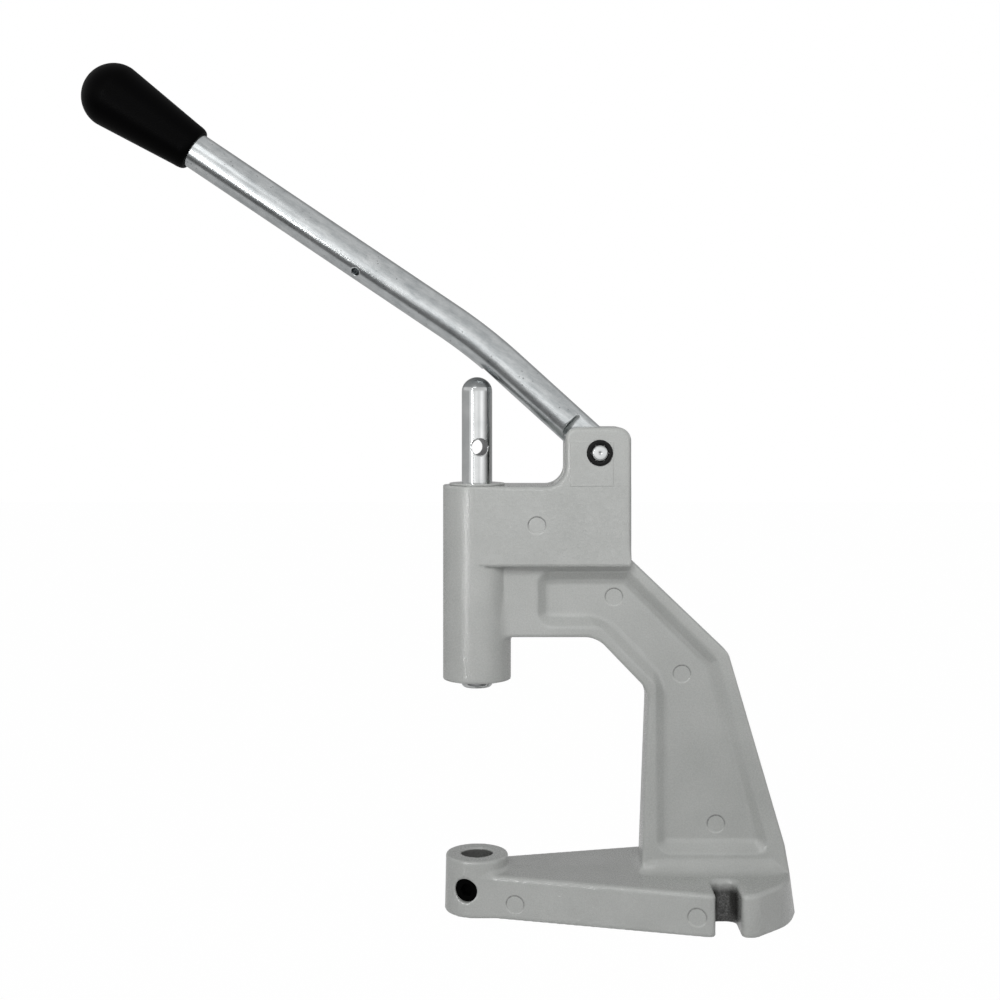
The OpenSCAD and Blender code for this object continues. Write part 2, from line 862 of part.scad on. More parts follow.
// Puts its children in the lever's own frame, at the pivot and on the press's middle plane
module lever_axis()
    translate([pivot.x, 0, pivot.y])
        rotate([0, lever_slope, 0])
            mirror([1, 0, 0])
                children();

// The bend's own frame: z points to the near side, and x from the bend's middle to where it ends
module bend_axis()
    lever_axis()
        translate([bend_out - bend_run, 0, bar_lift - bend_r])
            rotate([90, 0, 0])
                rotate([0, 0, 90 - bend_angle])
                    children();

// A ring round the bar where its middle line is at p and has turned down by a
function bar_ring(p, a) =
    [for (i = [0:bar_sides - 1])
        let (t = 360 * i / bar_sides)
        [p.x + bar_r * sin(t) * sin(a), bar_r * cos(t), p.y + bar_r * sin(t) * cos(a)]];

// The whole bar, straight, bent and straight again
module bent_bar() {
    centre = [bend_out - bend_run, bar_lift - bend_r];
    bend_end = centre + bend_r * [sin(bend_angle), cos(bend_angle)];
    loft([
        bar_ring([-tail_out, bar_lift], 0),
        for (i = [0:arc_steps])
            let (a = bend_angle * i / arc_steps)
            bar_ring(centre + bend_r * [sin(a), cos(a)], a),
        bar_ring(bend_end + (bar_out - bend_run) * [cos(bend_angle), -sin(bend_angle)], bend_angle)
    ]);
}

// The straight outer half of the lever: z runs out from the bend's end, x is up and y the near side
module outer_axis()
    bend_axis()
        translate([bend_r, 0, 0])
            rotate([90, 0, 0])
                children();

module lever_bar()
    color([0.72, 0.73, 0.73])
        difference() {
            lever_axis()
                bent_bar();
            lever_axis() {
                // Flats on both sides of the tongue, each ending in a hollow shoulder
                both_sides() {
                    translate([-tail_out - overrun, tongue_half, -bar_r * 2])
                        cube([tail_out + overrun + tongue_out - shoulder_r, bar_r, bar_r * 4]);
                    translate([tongue_out - shoulder_r, tongue_half + shoulder_r, -bar_r * 2])
                        cylinder(h = bar_r * 4, r = shoulder_r);
                }
                // Flat along the underside, which presses on the ram
                translate([-tail_out - overrun, -bar_r, flat_y - bar_r])
                    cube([tail_out + overrun + flat_far, bar_r * 2, bar_r]);
                // Round at the tail's upper corner
                difference() {
                    translate([-tail_out - overrun, -bar_r, bar_lift + bar_r - tail_round])
                        cube([tail_round + overrun, bar_r * 2, tail_round + overrun]);
                    cross_bar([tail_round - tail_out, bar_lift + bar_r - tail_round], tail_round,
                        -bar_r - overrun, bar_r + overrun);
                }
                cross_bar([0, 0], sleeve_r, -bar_r, bar_r);
            }
            outer_axis()
                translate([0, 0, vent_out - bend_run])
                    rotate([0, 0, vent_turn])
                        rotate([-90, 0, 0])
                            translate([0, 0, bar_r - vent_deep])
                                cylinder(h = vent_deep + overrun, r = vent_r);
        }

module lever_pivot_sleeve()
    color([0.72, 0.56, 0.33])
        lever_axis()
            difference() {
                cross_bar([0, 0], sleeve_r, -tongue_half, tongue_half);
                cross_bar([0, 0], pin_r + run_gap, -tongue_half - overrun, tongue_half + overrun);
            }

// The grip's outline: a rounded lip, a long taper and a full round end
module lever_grip() {
    taper_end = grip_len - grip_dome;
    lip = [for (i = [0:edge_steps])
        let (a = 90 * i / edge_steps)
        [grip_mouth_r + (grip_neck_r - grip_mouth_r) * sin(a), grip_lip * (1 - cos(a))]];
    taper = [for (i = [1:arc_steps])
        let (t = i / arc_steps)
        [grip_neck_r + (grip_r - grip_neck_r) * sin(90 * t), grip_lip + (taper_end - grip_lip) * t]];
    end_round = [for (i = [1:arc_steps * 2 - 1])
        let (a = 90 * i / (arc_steps * 2))
        [grip_r * cos(a), taper_end + grip_dome * sin(a)]];
    color([0.05, 0.05, 0.05])
        outer_axis()
            translate([0, 0, grip_start - bend_run])
                difference() {
                    rotate_extrude()
                        polygon([
                            [0, 0],
                            each lip,
                            each taper,
                            each end_round,
                            [0, grip_len]
                        ]);
                    translate([0, 0, -overrun])
                        cylinder(h = bar_out - grip_start + overrun, r = bar_r);
                }
}

// The clamp screw's axis: z runs outwards from the middle of the nose
module clamp_axis()
    translate([0, 0, clamp_up])
        rotate([0, 0, -clamp_turn])
            rotate([90, 0, 0])
                children();

module die_clamp_screw()
    color([0.04, 0.04, 0.04])
        clamp_axis()
            difference() {
                translate([0, 0, socket_r + rest_gap])
                    cylinder(h = clamp_len, r = clamp_hole_r - run_gap);
                translate([0, 0, socket_r + rest_gap + clamp_len - clamp_hex_deep])
                    cylinder(h = clamp_hex_deep + overrun, r = clamp_hex / sqrt(3), $fn = 6);
            }

frame_casting();
top_guide_bush();
lower_guide_bush();
ram();
ram_retaining_ring();
thrust_washer();
return_spring();
pivot_pin();
lock_ring_near();
lock_ring_far();
lever_bar();
lever_pivot_sleeve();
lever_grip();
die_clamp_screw();
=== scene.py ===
import math
from functools import reduce

import bpy
import numpy as np
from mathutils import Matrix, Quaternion, Vector


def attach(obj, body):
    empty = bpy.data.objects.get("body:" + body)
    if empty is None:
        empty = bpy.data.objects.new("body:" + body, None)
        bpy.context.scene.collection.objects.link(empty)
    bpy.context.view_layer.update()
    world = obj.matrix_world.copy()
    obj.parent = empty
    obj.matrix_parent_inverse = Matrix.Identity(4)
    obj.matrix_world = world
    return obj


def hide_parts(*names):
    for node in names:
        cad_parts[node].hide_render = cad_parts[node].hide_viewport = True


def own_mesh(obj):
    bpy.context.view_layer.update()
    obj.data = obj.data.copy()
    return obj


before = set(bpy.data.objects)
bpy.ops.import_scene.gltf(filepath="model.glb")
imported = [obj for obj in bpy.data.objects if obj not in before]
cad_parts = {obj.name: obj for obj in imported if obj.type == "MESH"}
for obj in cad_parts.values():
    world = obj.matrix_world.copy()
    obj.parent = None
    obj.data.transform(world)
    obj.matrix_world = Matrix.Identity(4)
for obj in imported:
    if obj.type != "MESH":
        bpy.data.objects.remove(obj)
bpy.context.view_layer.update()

scene = bpy.context.scene
mm = 0.001  # sizes below are in millimetres, meshes in metres
rad = math.pi / 180


# Helpers for fields: a field is the distance to a surface in mm, below zero inside the metal

def across(x, z, p, q):
    # distance to the right of the line from p to q, where the metal lies on the left
    dx, dz = q[0] - p[0], q[1] - p[1]
    return ((x - p[0]) * dz - (z - p[1]) * dx) / math.hypot(dx, dz)


def beside(p, q, atP, atQ):
    # the line from p to q moved to its left, by one distance at p and another at q
    dx, dz = q[0] - p[0], q[1] - p[1]
    run = math.hypot(dx, dz)
    left = (-dz / run, dx / run)
    return (p[0] + left[0] * atP, p[1] + left[1] * atP), (q[0] + left[0] * atQ, q[1] + left[1] * atQ)


def both(a, b, r):
    # where two solids overlap, with a rounded edge: a quarter circle of radius r in the two distances
    return np.minimum(np.maximum(a, b), -r) + np.hypot(np.maximum(a + r, 0), np.maximum(b + r, 0))


def either(a, b, r):
    # two solids joined, with a fillet: the same quarter circle, turned outwards
    return np.maximum(np.minimum(a, b), r) - np.hypot(np.maximum(r - a, 0), np.maximum(r - b, 0))


def cut(a, b, r):
    # solid a without solid b, with a rounded edge
    return both(a, -b, r)


def reach(radius, turn):
    # what both() and either() need for this radius where two flat faces turn by less than a right angle
    return radius * (1 - math.cos(turn * rad))


def sineCosine(turn):
    # of a turn in degrees
    return math.sin(turn * rad), math.cos(turn * rad)


def ramp(v, low, high):
    # rises smoothly from 0 at low to 1 at high
    t = np.clip((v - low) / (high - low), 0, 1)
    return t * t * (3 - 2 * t)


def slopeOf(field, p, step):
    # unit normals of a field at points p, from differences over a small step
    g = np.empty_like(p)
    for axis in range(3):
        d = np.zeros(3)
        d[axis] = step
        g[:, axis] = field(*(p + d).T) - field(*(p - d).T)
    return g / np.maximum(np.linalg.norm(g, axis=1, keepdims=True), 1e-9)


skin = dict(
    rounds=5,  # how often the search on a crossed edge closes in
    damp=0.1,  # how near to either end of its bracket a guess may fall
    edgeStep=0.08,  # steps for slopes, in cells
    pointStep=0.12,
    hold=0.08,  # how strongly a vertex is held to the middle of its crossings
    slack=0.05,  # how far a vertex may leave its cell, in cells
    smoothFrom=0.985,  # where normals agree this well, the vertex is moved onto the surface
)


def skinOf(field, low, high, cell):
    # the field's zero surface: one vertex in each cell that the surface crosses, placed where the tangent planes
    # at its crossed edges meet, and one quad round each crossed edge
    low = np.array(low, float)
    count = np.ceil((np.array(high, float) - low) / cell).astype(int) + 1
    axes = [low[i] + cell * np.arange(count[i]) for i in range(3)]
    value = np.empty(count)
    for i in range(count[0]):  # one slice at a time keeps the memory small
        y, z = np.meshgrid(axes[1], axes[2], indexing="ij")
        value[i] = field(np.full_like(y, axes[0][i]), y, z)
    inside = value < 0
    size = count - 1
    cells, spots, normals, faces = [], [], [], []
    for axis in range(3):
        a = np.moveaxis(inside, axis, 0)
        at = np.argwhere(np.moveaxis(a[:-1] != a[1:], 0, axis))
        after = at.copy()
        after[:, axis] += 1
        v0 = value[tuple(at.T)]
        v1 = value[tuple(after.T)]
        p0 = low + at * cell
        t0, t1 = np.zeros(len(at)), np.ones(len(at))
        for _ in range(skin["rounds"]):  # regula falsi, damped so that both ends close in
            t = t0 + (t1 - t0) * np.clip(v0 / (v0 - v1), skin["damp"], 1 - skin["damp"])
            p = p0.copy()
            p[:, axis] += t * cell
            v = field(*p.T)
            same = (v < 0) == (v0 < 0)
            t0, v0 = np.where(same, t, t0), np.where(same, v, v0)
            t1, v1 = np.where(same, t1, t), np.where(same, v1, v)
        p = p0.copy()
        p[:, axis] += (t0 + (t1 - t0) * v0 / (v0 - v1)) * cell
        n = slopeOf(field, p, cell * skin["edgeStep"])
        u, w = (axis + 1) % 3, (axis + 2) % 3
        quad = []
        for du, dw in ((-1, -1), (0, -1), (0, 0), (-1, 0)):
            c = at.copy()
            c[:, u] += du
            c[:, w] += dw
            quad.append(np.ravel_multi_index(tuple(np.clip(c, 0, size - 1).T), tuple(size)))
        quad = np.stack(quad, 1)
        turned = inside[tuple(at.T)]
        faces.append(np.where(turned[:, None], quad, quad[:, ::-1]))
        for k in range(4):
            cells.append(quad[:, k])
            spots.append(p)
            normals.append(n)
    cells, spots, normals = (np.concatenate(v) for v in (cells, spots, normals))
    used, cells = np.unique(cells, return_inverse=True)
    faces = np.searchsorted(used, np.concatenate(faces))

    def total(w):
        # the sum of w over the crossings of each cell
        return np.bincount(cells, w, len(used))

    def totals(v):
        # the same for vectors
        return np.stack([total(v[:, i]) for i in range(3)], 1)

    n = total(None)[:, None]
    middle, mean = totals(spots) / n, totals(normals) / n
    off = np.einsum("ij,ij->i", normals, spots - middle[cells])
    square = np.empty((len(used), 3, 3))
    for i in range(3):
        for j in range(i, 3):
            square[:, i, j] = square[:, j, i] = total(normals[:, i] * normals[:, j])
    square += np.eye(3) * skin["hold"]
    pull = totals(normals * off[:, None])
    corner = low + np.stack(np.unravel_index(used, tuple(size)), 1) * cell
    place = middle + np.linalg.solve(square, pull[:, :, None])[:, :, 0]
    place = np.clip(place, corner - cell * skin["slack"], corner + cell * (1 + skin["slack"]))
    smooth = np.linalg.norm(mean, axis=1) > skin["smoothFrom"]
    here = slopeOf(field, place, cell * skin["pointStep"])
    place[smooth] -= (here * field(*place.T)[:, None])[smooth]
    mean /= np.maximum(np.linalg.norm(mean, axis=1, keepdims=True), 1e-9)
    return place, np.where(smooth[:, None], here, mean), faces


def addPiece(name, body, points, faces, normals, stands, sharpFrom=None):
    # a mesh object at the origin from points in mm, on its body, smooth but where faces turn by more than sharpFrom
    mesh = bpy.data.meshes.new(name)
    mesh.vertices.add(len(points))
    mesh.vertices.foreach_set("co", (np.asarray(points) * mm).astype(np.float32).ravel())
    faces = np.asarray(faces)
    mesh.loops.add(faces.size)
    mesh.loops.foreach_set("vertex_index", faces.ravel().astype(np.int32))
    mesh.polygons.add(len(faces))
    mesh.polygons.foreach_set("loop_start", np.arange(len(faces), dtype=np.int32) * faces.shape[1])
    mesh.update(calc_edges=True)
    mesh.validate()
    mesh.polygons.foreach_set("use_smooth", np.ones(len(mesh.polygons), bool))
    if normals is not None:
        mesh.normals_split_custom_set_from_vertices(np.asarray(normals).tolist())
    piece = bpy.data.objects.new(name, mesh)
    scene.collection.objects.link(piece)
    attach(piece, body)
    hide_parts(*stands)
    if sharpFrom:
        mesh.set_sharp_from_angle(angle=sharpFrom * rad)
    print("made", name, len(points), "points", len(faces), "faces")
    return piece


# The casting

casting = dict(
    webHalf=11.0, webEdge=1.3,  # half the thickness of arm and column, and the radius of its edge
    webInBlock=20,  # how far the web runs up inside the block
    underEnd=(62.1, 143.3),  # where the arm's underside turns down
    throatKnee=(88.8, 115.6),
    throatRound=(13.0, 46),  # radius, and the turn in degrees that it takes
    footFront=(85.3, 21.8), footBack=(162.3, 21.8),
    backLow=(159.8, 36.0), backKnee=(130.7, 135.2), backTop=(79.6, 184.0),
    backEdge=0.3, topEdge=1.0, draft=0.02,
    pocketDepth=4.8, pocketRun=5.3, pocketFront=31.4,
    pocketBend=1.5, pocketCorner=7.5, pocketFloorEdge=1.2, pocketRimEdge=0.5,
    rims=dict(under=5.7, slope=5.1, front=3.9, frontFoot=7.8, foot=9.7, backFoot=8.2, back=6.4, top=5.1, lid=3.2),
    bossR=17.8, bossLow=120.5, bossEdge=1.0,
    bossInBlock=10,  # how far under the block's top the boss ends
    blockTop=222.0, blockUnder=180.8, blockRear=79.6, underEdge=1.0,
    frontEdge=0.8, blockEdge=2.3,  # the block's edge at the boss, which grows to the other over the next two runs
    edgeGrowsX=(0, 20), edgeGrowsZ=(183, 192),
    earFront=45.8, earTop=252.4, earHalf=17.4,
    earStep=(0.4, 1.4),  # the ears step in over this run above the block's top
    earFoot=10.0, earTopRound=6.0, earRearRound=7.0,
    pad=(48.2, 70.4, 244.6, 222.2),  # front, rear, top and foot of the pad on each ear
    padUp=0.25, padSoft=0.5,
    slotHalf=6.75, slotFloor=222.5, slotEdge=0.7,
    headFillet=(0.5, 2.5), headFilletZ=(172, 150),  # the fillet under the block, and what is added over this run
    baseTop=22.2,
    baseRoof=0.0175,  # how the top falls away from the middle line
    baseHalf=14.3,
    baseFront=-8.4,  # where the base ends inside the nose
    baseSpread=14.2, spreadRound=0.1,
    baseRearHalf=44.4, baseRear=165.2, baseLean=0.133,
    cornerCut=(0.58, 0.47),  # where the rear corners are cut, along X and Y, as shares of baseRearHalf
    cornerRound=(9.0, 42), rearRound=(37.0, 48),
    boltSlot=(119.2, 132.0, 21.5),  # front wall, rear wall, inner end
    boltRound=4.5, boltMouth=3.6,
    baseEdge=2.6, lowEdge=1.2,
    leastCove=(0.2, 3.0), coveRoom=9.0,  # the fillet at the base's rear edge, and what is added over this room
    cove=8.0, coveX=(80, 94),  # the fillet at the column's foot, and the run over which it grows
    noseR=16.8, noseTopR=16.2, noseTop=29.0, noseEdge=1.3, noseFillet=2.4,
    socketR=8.5, socketFloor=4.0, socketEdge=0.6,
    clampR=6.1, clampUp=13.8, clampTurn=21.0,
    lowBushR=10.0, chamberR=11.5, chamberFloor=150.0, holeEdge=0.5,
    pivot=(63.3, 239.3), pinR=4.0,
    box=((-19.5, -46, -1.5), (167, 46, 254)),
    cell=1.06,  # smaller is finer, but 1.0 already makes more than 200,000 triangles
)


def armAndColumn(x, a, z):
    # the web's outline as lines, rounded where they meet, drawn out to webHalf, less the pocket
    c = casting
    under = across(x, z, (0, c["underEnd"][1]), c["underEnd"])
    slope = across(x, z, c["underEnd"], c["throatKnee"])
    front = across(x, z, c["throatKnee"], c["footFront"])
    bend = reach(*c["throatRound"])
    throat = either(either(under, slope, bend), front, bend)
    foot = across(x, z, (c["baseRear"], 0), c["footBack"])
    low = across(x, z, c["footBack"], c["backLow"])
    back = across(x, z, c["backLow"], c["backKnee"])
    top = across(x, z, c["backKnee"], c["backTop"])
    rear = both(both(np.maximum(foot, low), back, c["backEdge"]), top, c["topEdge"])
    outline = np.maximum(np.maximum(throat, rear), np.maximum(z - c["blockUnder"] - c["webInBlock"], -x))
    web = both(outline + a * c["draft"], a - c["webHalf"], c["webEdge"])
    r = c["rims"]
    pFront = across(x, z, *beside(c["throatKnee"], c["footFront"], r["front"], r["frontFoot"]))
    pBack = across(x, z, *beside(c["backLow"], c["backKnee"], r["backFoot"], r["back"]))
    pTop = across(x, z, *beside(c["backKnee"], c["backTop"], r["back"], r["top"]))
    bend, corner = c["pocketBend"], c["pocketCorner"]
    rim = either(either(under + r["under"], slope + r["slope"], bend), pFront, bend)
    rim = both(both(rim, c["footFront"][1] + r["foot"] - z, corner), pBack, corner)
    rim = both(both(rim, pTop, bend), z - c["blockUnder"] + r["lid"], bend)
    rim = both(rim, c["pocketFront"] - x, corner)
    steep = c["pocketRun"] / c["pocketDepth"]
    wall = (rim + (c["webHalf"] - a) * steep) / math.hypot(1, steep)
    pocket = both(c["webHalf"] - c["pocketDepth"] - a, wall, c["pocketFloorEdge"])
    return cut(web, pocket, c["pocketRimEdge"])


def headOfCasting(x, y, a, z):
    # a bar of stadium section for block and boss, cut by the side view's outline with the ears
    c = casting
    fromAxis = np.hypot(x, y)
    overBlock = ramp(z - c["blockTop"], *c["earStep"])
    padFront, padRear, padTop, soft = *c["pad"][:3], c["padSoft"]
    onPad = ramp(x - padFront, -soft, soft) * ramp(padRear - x, -soft, soft) * ramp(padTop - z, -soft, soft)
    half = c["bossR"] + (c["earHalf"] - c["bossR"] + c["padUp"] * onPad) * overBlock
    side = np.where(x < 0, fromAxis - c["bossR"], a - half)
    outline = either(z - c["blockTop"], c["earFront"] - x, c["earFoot"])
    outline = both(outline, z - c["earTop"], c["earTopRound"])
    outline = both(outline, x - c["blockRear"], c["earRearRound"])
    outline = both(outline, c["blockUnder"] - z, c["underEdge"])
    edge = c["frontEdge"] + (c["blockEdge"] - c["frontEdge"]) * ramp(x, *c["edgeGrowsX"]) * ramp(z, *c["edgeGrowsZ"])
    upper = both(side, outline, edge)
    boss = both(fromAxis - c["bossR"], c["bossLow"] - z, c["bossEdge"])
    boss = np.maximum(boss, z - c["blockTop"] + c["bossInBlock"])
    return np.minimum(upper, boss)


def baseAndNose(x, y, a, z):
    # the base's plan as lines, rounded where they meet, with two bolt slots, and the cone of the nose
    c = casting
    spread = c["baseSpread"] * rad
    side = (a - c["baseHalf"] - x * math.tan(spread)) * math.cos(spread)
    plan = both(side, a - c["baseRearHalf"], c["spreadRound"])
    cutX, cutY = c["cornerCut"]
    meet = (c["baseRear"] - c["baseRearHalf"] * cutX, c["baseRearHalf"] * cutY)
    slant = across(x, a, (c["baseRear"], meet[1]), (meet[0], c["baseRearHalf"]))
    plan = both(plan, slant, reach(*c["cornerRound"]))
    back = (x - c["baseRear"] + z * c["baseLean"]) / math.hypot(1, c["baseLean"])
    plan = both(plan, back, reach(*c["rearRound"]))
    wallA, wallB, end = c["boltSlot"]
    slot = both(abs(x - (wallA + wallB) / 2) - (wallB - wallA) / 2, end - a, c["boltRound"])
    plan = np.maximum(cut(plan, slot, c["boltMouth"]), c["baseFront"] - x)
    base = both(plan, z - c["baseTop"] + a * c["baseRoof"], c["baseEdge"])
    fromAxis = np.hypot(x, y)
    cone = fromAxis - c["noseR"] + z * (c["noseR"] - c["noseTopR"]) / c["noseTop"]
    nose = both(cone, z - c["noseTop"], c["noseEdge"])
    return either(base, nose, c["noseFillet"])


def castingField(x, y, z):
    # head, web, base and nose joined by fillets, flat underneath, less the ears' slot, the bores and the holes
    c = casting
    a = abs(y)
    fromAxis = np.hypot(x, y)
    web = armAndColumn(x, a, z)
    (least, more), (filletTop, filletLow) = c["headFillet"], c["headFilletZ"]
    top = either(headOfCasting(x, y, a, z), web, least + more * ramp(-z, -filletTop, -filletLow))
    rearRoom = c["baseRear"] - z * c["baseLean"] - x
    least, more = c["leastCove"]
    fillet = least + (more + (c["cove"] - more) * ramp(x, *c["coveX"])) * ramp(rearRoom, 0, c["coveRoom"])
    body = either(baseAndNose(x, y, a, z), top, fillet)
    body = both(body, -z, c["lowEdge"])
    body = cut(body, np.maximum(a - c["slotHalf"], c["slotFloor"] - z), c["slotEdge"])
    clear = 10  # how far the holes' fields run on outside the metal
    bore = np.minimum(fromAxis - c["lowBushR"], np.maximum(fromAxis - c["chamberR"], c["chamberFloor"] - z))
    body = cut(body, np.maximum(bore, c["bossLow"] - clear - z), c["holeEdge"])
    socket = np.maximum(np.maximum(fromAxis - c["socketR"], c["socketFloor"] - z), z - c["noseTop"] - clear)
    body = cut(body, socket, c["socketEdge"])
    s, k = sineCosine(c["clampTurn"])
    hole = np.maximum(np.hypot(x * k - y * s, z - c["clampUp"]) - c["clampR"], x * s + y * k)
    body = cut(body, hole, c["holeEdge"])
    pin = np.hypot(x - c["pivot"][0], z - c["pivot"][1]) - c["pinR"]
    return np.maximum(body, -pin)


def makeCasting():
    # the field's skin in press coordinates
    points, normals, faces = skinOf(castingField, *casting["box"], casting["cell"])
    return addPiece("casting", "frame", points, faces, normals, ["frame_casting"])


# The lever's bar, in a frame of its own: x out from the pivot, y across, z away from the underside

lever = dict(
    barR=9.5, slope=42.2,
    bend=8.3, bendR=275.0, bendOut=84.8, barOut=236.0,
    lift=1.15,  # the bar's middle line over the pivot
    flatDeep=0.4, flatFar=74.0,
    tongueHalf=6.4, tongueOut=21.8,
    tail=15.7, tailRound=9.0,
    ventR=2.25, ventOut=73.6, ventTurn=41.0, ventDeep=9.0,
    sleeveR=5.0,
    tailEdge=0.5, endEdge=0.8, flatEdge=0.15, shoulderEdge=0.25, ventEdge=0.4,
    box=((-17, -10.5, -60), (322, 10.5, 12)), cell=0.72,
)


def leverOut(x, y, z):
    # along the outer straight and up from its middle line: the frame turned down by the bend at its corner
    v = lever
    s, k = sineCosine(v["bend"])
    u, w = x - v["bendOut"], z - v["lift"]
    return u * k - w * s, u * s + w * k


def leverField(x, y, z):
    # a rod of radius barR round the bent middle line, less the flats, the shoulders and the holes
    v = lever
    run = v["bendR"] * math.tan(v["bend"] * rad / 2)
    out, up = leverOut(x, y, z)
    fromCentre = np.hypot(x - v["bendOut"] + run, z - v["lift"] + v["bendR"]) - v["bendR"]
    straight = x < v["bendOut"] - run
    height = np.where(straight, z - v["lift"], np.where(out > run, up, fromCentre))
    rod = np.hypot(y, height) - v["barR"]
    rod = both(both(rod, -v["tail"] - x, v["tailEdge"]), out - v["barOut"], v["endEdge"])
    flat = v["lift"] - v["barR"] + v["flatDeep"] - z
    rod = cut(rod, np.maximum(-flat, x - v["flatFar"]), v["flatEdge"])
    corner = (v["tailRound"] - v["tail"], v["lift"] + v["barR"] - v["tailRound"])
    tailArc = np.hypot(x - corner[0], z - corner[1]) - v["tailRound"]
    rod = np.where((x < corner[0]) & (z > corner[1]), np.maximum(rod, tailArc), rod)
    shoulderR = v["barR"] - v["tongueHalf"]
    hollow = np.hypot(x - v["tongueOut"] + shoulderR, abs(y) - v["tongueHalf"] - shoulderR) - shoulderR
    side = np.maximum(v["tongueHalf"] - abs(y), x - v["tongueOut"] + shoulderR)
    rod = cut(rod, np.minimum(side, hollow), v["shoulderEdge"])
    rod = np.maximum(rod, v["sleeveR"] - np.hypot(x, z))
    s, k = sineCosine(v["ventTurn"])
    depth = -y * k - up * s  # outwards along the hole, towards the near side and down
    fromVent = np.hypot(out - v["ventOut"], -y * s + up * k)
    vent = np.maximum(fromVent - v["ventR"], v["barR"] - v["ventDeep"] - depth)
    return cut(rod, vent, v["ventEdge"])


def leverToPress(p):
    # from the lever's frame to the press's, still about the pivot: x turned round and raised by the slope
    s, k = sineCosine(lever["slope"])
    return np.stack([-p[:, 0] * k + p[:, 2] * s, p[:, 1], p[:, 0] * s + p[:, 2] * k], 1)


def atPivot():
    # the pin's middle in press coordinates
    return np.array([casting["pivot"][0], 0, casting["pivot"][1]])


def makeLever():
    # the field's skin, turned into the press; the vertices keep their place along the bar for the streaks
    points, normals, faces = skinOf(leverField, *lever["box"], lever["cell"])
    piece = addPiece("leverBar", "lever", leverToPress(points) + atPivot(), faces[:, ::-1],
                     leverToPress(normals), ["lever_bar"])
    out, up = leverOut(*points.T)
    place = np.stack([out, np.arctan2(points[:, 1], up), up], 1) * mm
    mark = piece.data.attributes.new("alongBar", "FLOAT_VECTOR", "POINT")
    mark.data.foreach_set("vector", place.astype(np.float32).ravel())
    return piece


# Turned parts: a profile of radius and height carried round an axis

def strips(rings):
    # two triangles between each vertex of a ring, the next one, and the same two of the next ring
    a, b = rings[:-1], rings[1:]
    a1, b1 = np.roll(a, -1, 1), np.roll(b, -1, 1)
    return np.concatenate([np.stack([a, a1, b1], 2).reshape(-1, 3), np.stack([a, b1, b], 2).reshape(-1, 3)])


def spun(profile, sides, closed=False, radiusAt=None):
    # rings of a profile at even angles as triangles; a point on the axis is one shared vertex, so poles are closed
    profile = np.array(profile, float)
    count = len(profile)
    angle = 2 * math.pi * np.arange(sides) / sides
    r = np.repeat(profile[:, :1], sides, 1)
    if radiusAt is not None:
        r = radiusAt(r, angle[None, :])
    h = np.repeat(profile[:, 1:], sides, 1)
    points = np.stack([r * np.cos(angle), r * np.sin(angle), h], 2).reshape(-1, 3)
    index = np.arange(count * sides).reshape(count, sides)
    index[profile[:, 0] == 0] = index[profile[:, 0] == 0][:, :1]
    faces = strips(np.vstack([index, index[:1]]) if closed else index)
    whole = (faces != np.roll(faces, 1, 1)).all(1)  # leaves out the flat triangles at poles
    used, faces = np.unique(faces[whole], return_inverse=True)
    return points[used], faces.reshape(-1, 3)


def softened(points, r, steps=4, closed=False):
    # a profile whose corners are rounded by curves that start r before each corner and end r after it
    points = np.array(points, float)
    count = len(points)
    out = []
    for i in range(count):
        if not closed and i in (0, count - 1):
            out.append(points[i])
            continue
        before, here, after = points[i - 1], points[i], points[(i + 1) % count]
        u, v = before - here, after - here
        lengthU, lengthV = np.linalg.norm(u), np.linalg.norm(v)
        reachHere = min(r, lengthU * 0.48, lengthV * 0.48)  # so that two curves on a short side don't meet
        start = here + u / lengthU * reachHere
        end = here + v / lengthV * reachHere
        t = np.linspace(0, 1, steps + 1)[:, None]
        out.extend(start * (1 - t) ** 2 + here * 2 * t * (1 - t) + end * t ** 2)
    return np.array(out)


# The ram

ram = dict(r=8.0, low=116.3, top=278.4, domeR=8.2, chamfer=1.0, crossR=4.25, crossUp=241.8, turned=13.0,
           threadR=2.5, threadDeep=16.0, grooveLow=204.2, grooveHigh=205.7, groove=1.0,
           domeEdge=0.25, footEdge=0.2, grooveEdge=0.1, crossEdge=0.45, threadEdge=0.3,
           box=((-9, -9, 115), (9, 9, 280)), cell=0.55)


def ramField(x, y, z):
    # a round bar with a domed top, a chamfered foot, a groove, a cross hole and a threaded hole
    m = ram
    fromAxis = np.hypot(x, y)
    dome = np.hypot(fromAxis, np.maximum(z - m["top"] + m["domeR"], 0)) - m["domeR"]
    body = both(fromAxis - m["r"], dome, m["domeEdge"])
    foot = (fromAxis - m["r"] + m["chamfer"] + m["low"] - z) / math.sqrt(2)
    body = both(np.maximum(body, m["low"] - z), foot, m["footEdge"])
    groove = np.maximum(np.maximum(m["grooveLow"] - z, z - m["grooveHigh"]), m["r"] - m["groove"] - fromAxis)
    body = cut(body, groove, m["grooveEdge"])
    s, k = sineCosine(m["turned"])
    cross = np.hypot(x * k + y * s, z - m["crossUp"]) - m["crossR"]
    body = cut(body, cross, m["crossEdge"])
    thread = np.maximum(fromAxis - m["threadR"], z - m["low"] - m["threadDeep"])
    return cut(body, thread, m["threadEdge"])


def makeRam():
    # the field's skin in press coordinates
    points, normals, faces = skinOf(ramField, *ram["box"], ram["cell"])
    return addPiece("ramSpindle", "ram", points, faces, normals, ["ram"])


# Guide bush, pivot pin and lock rings

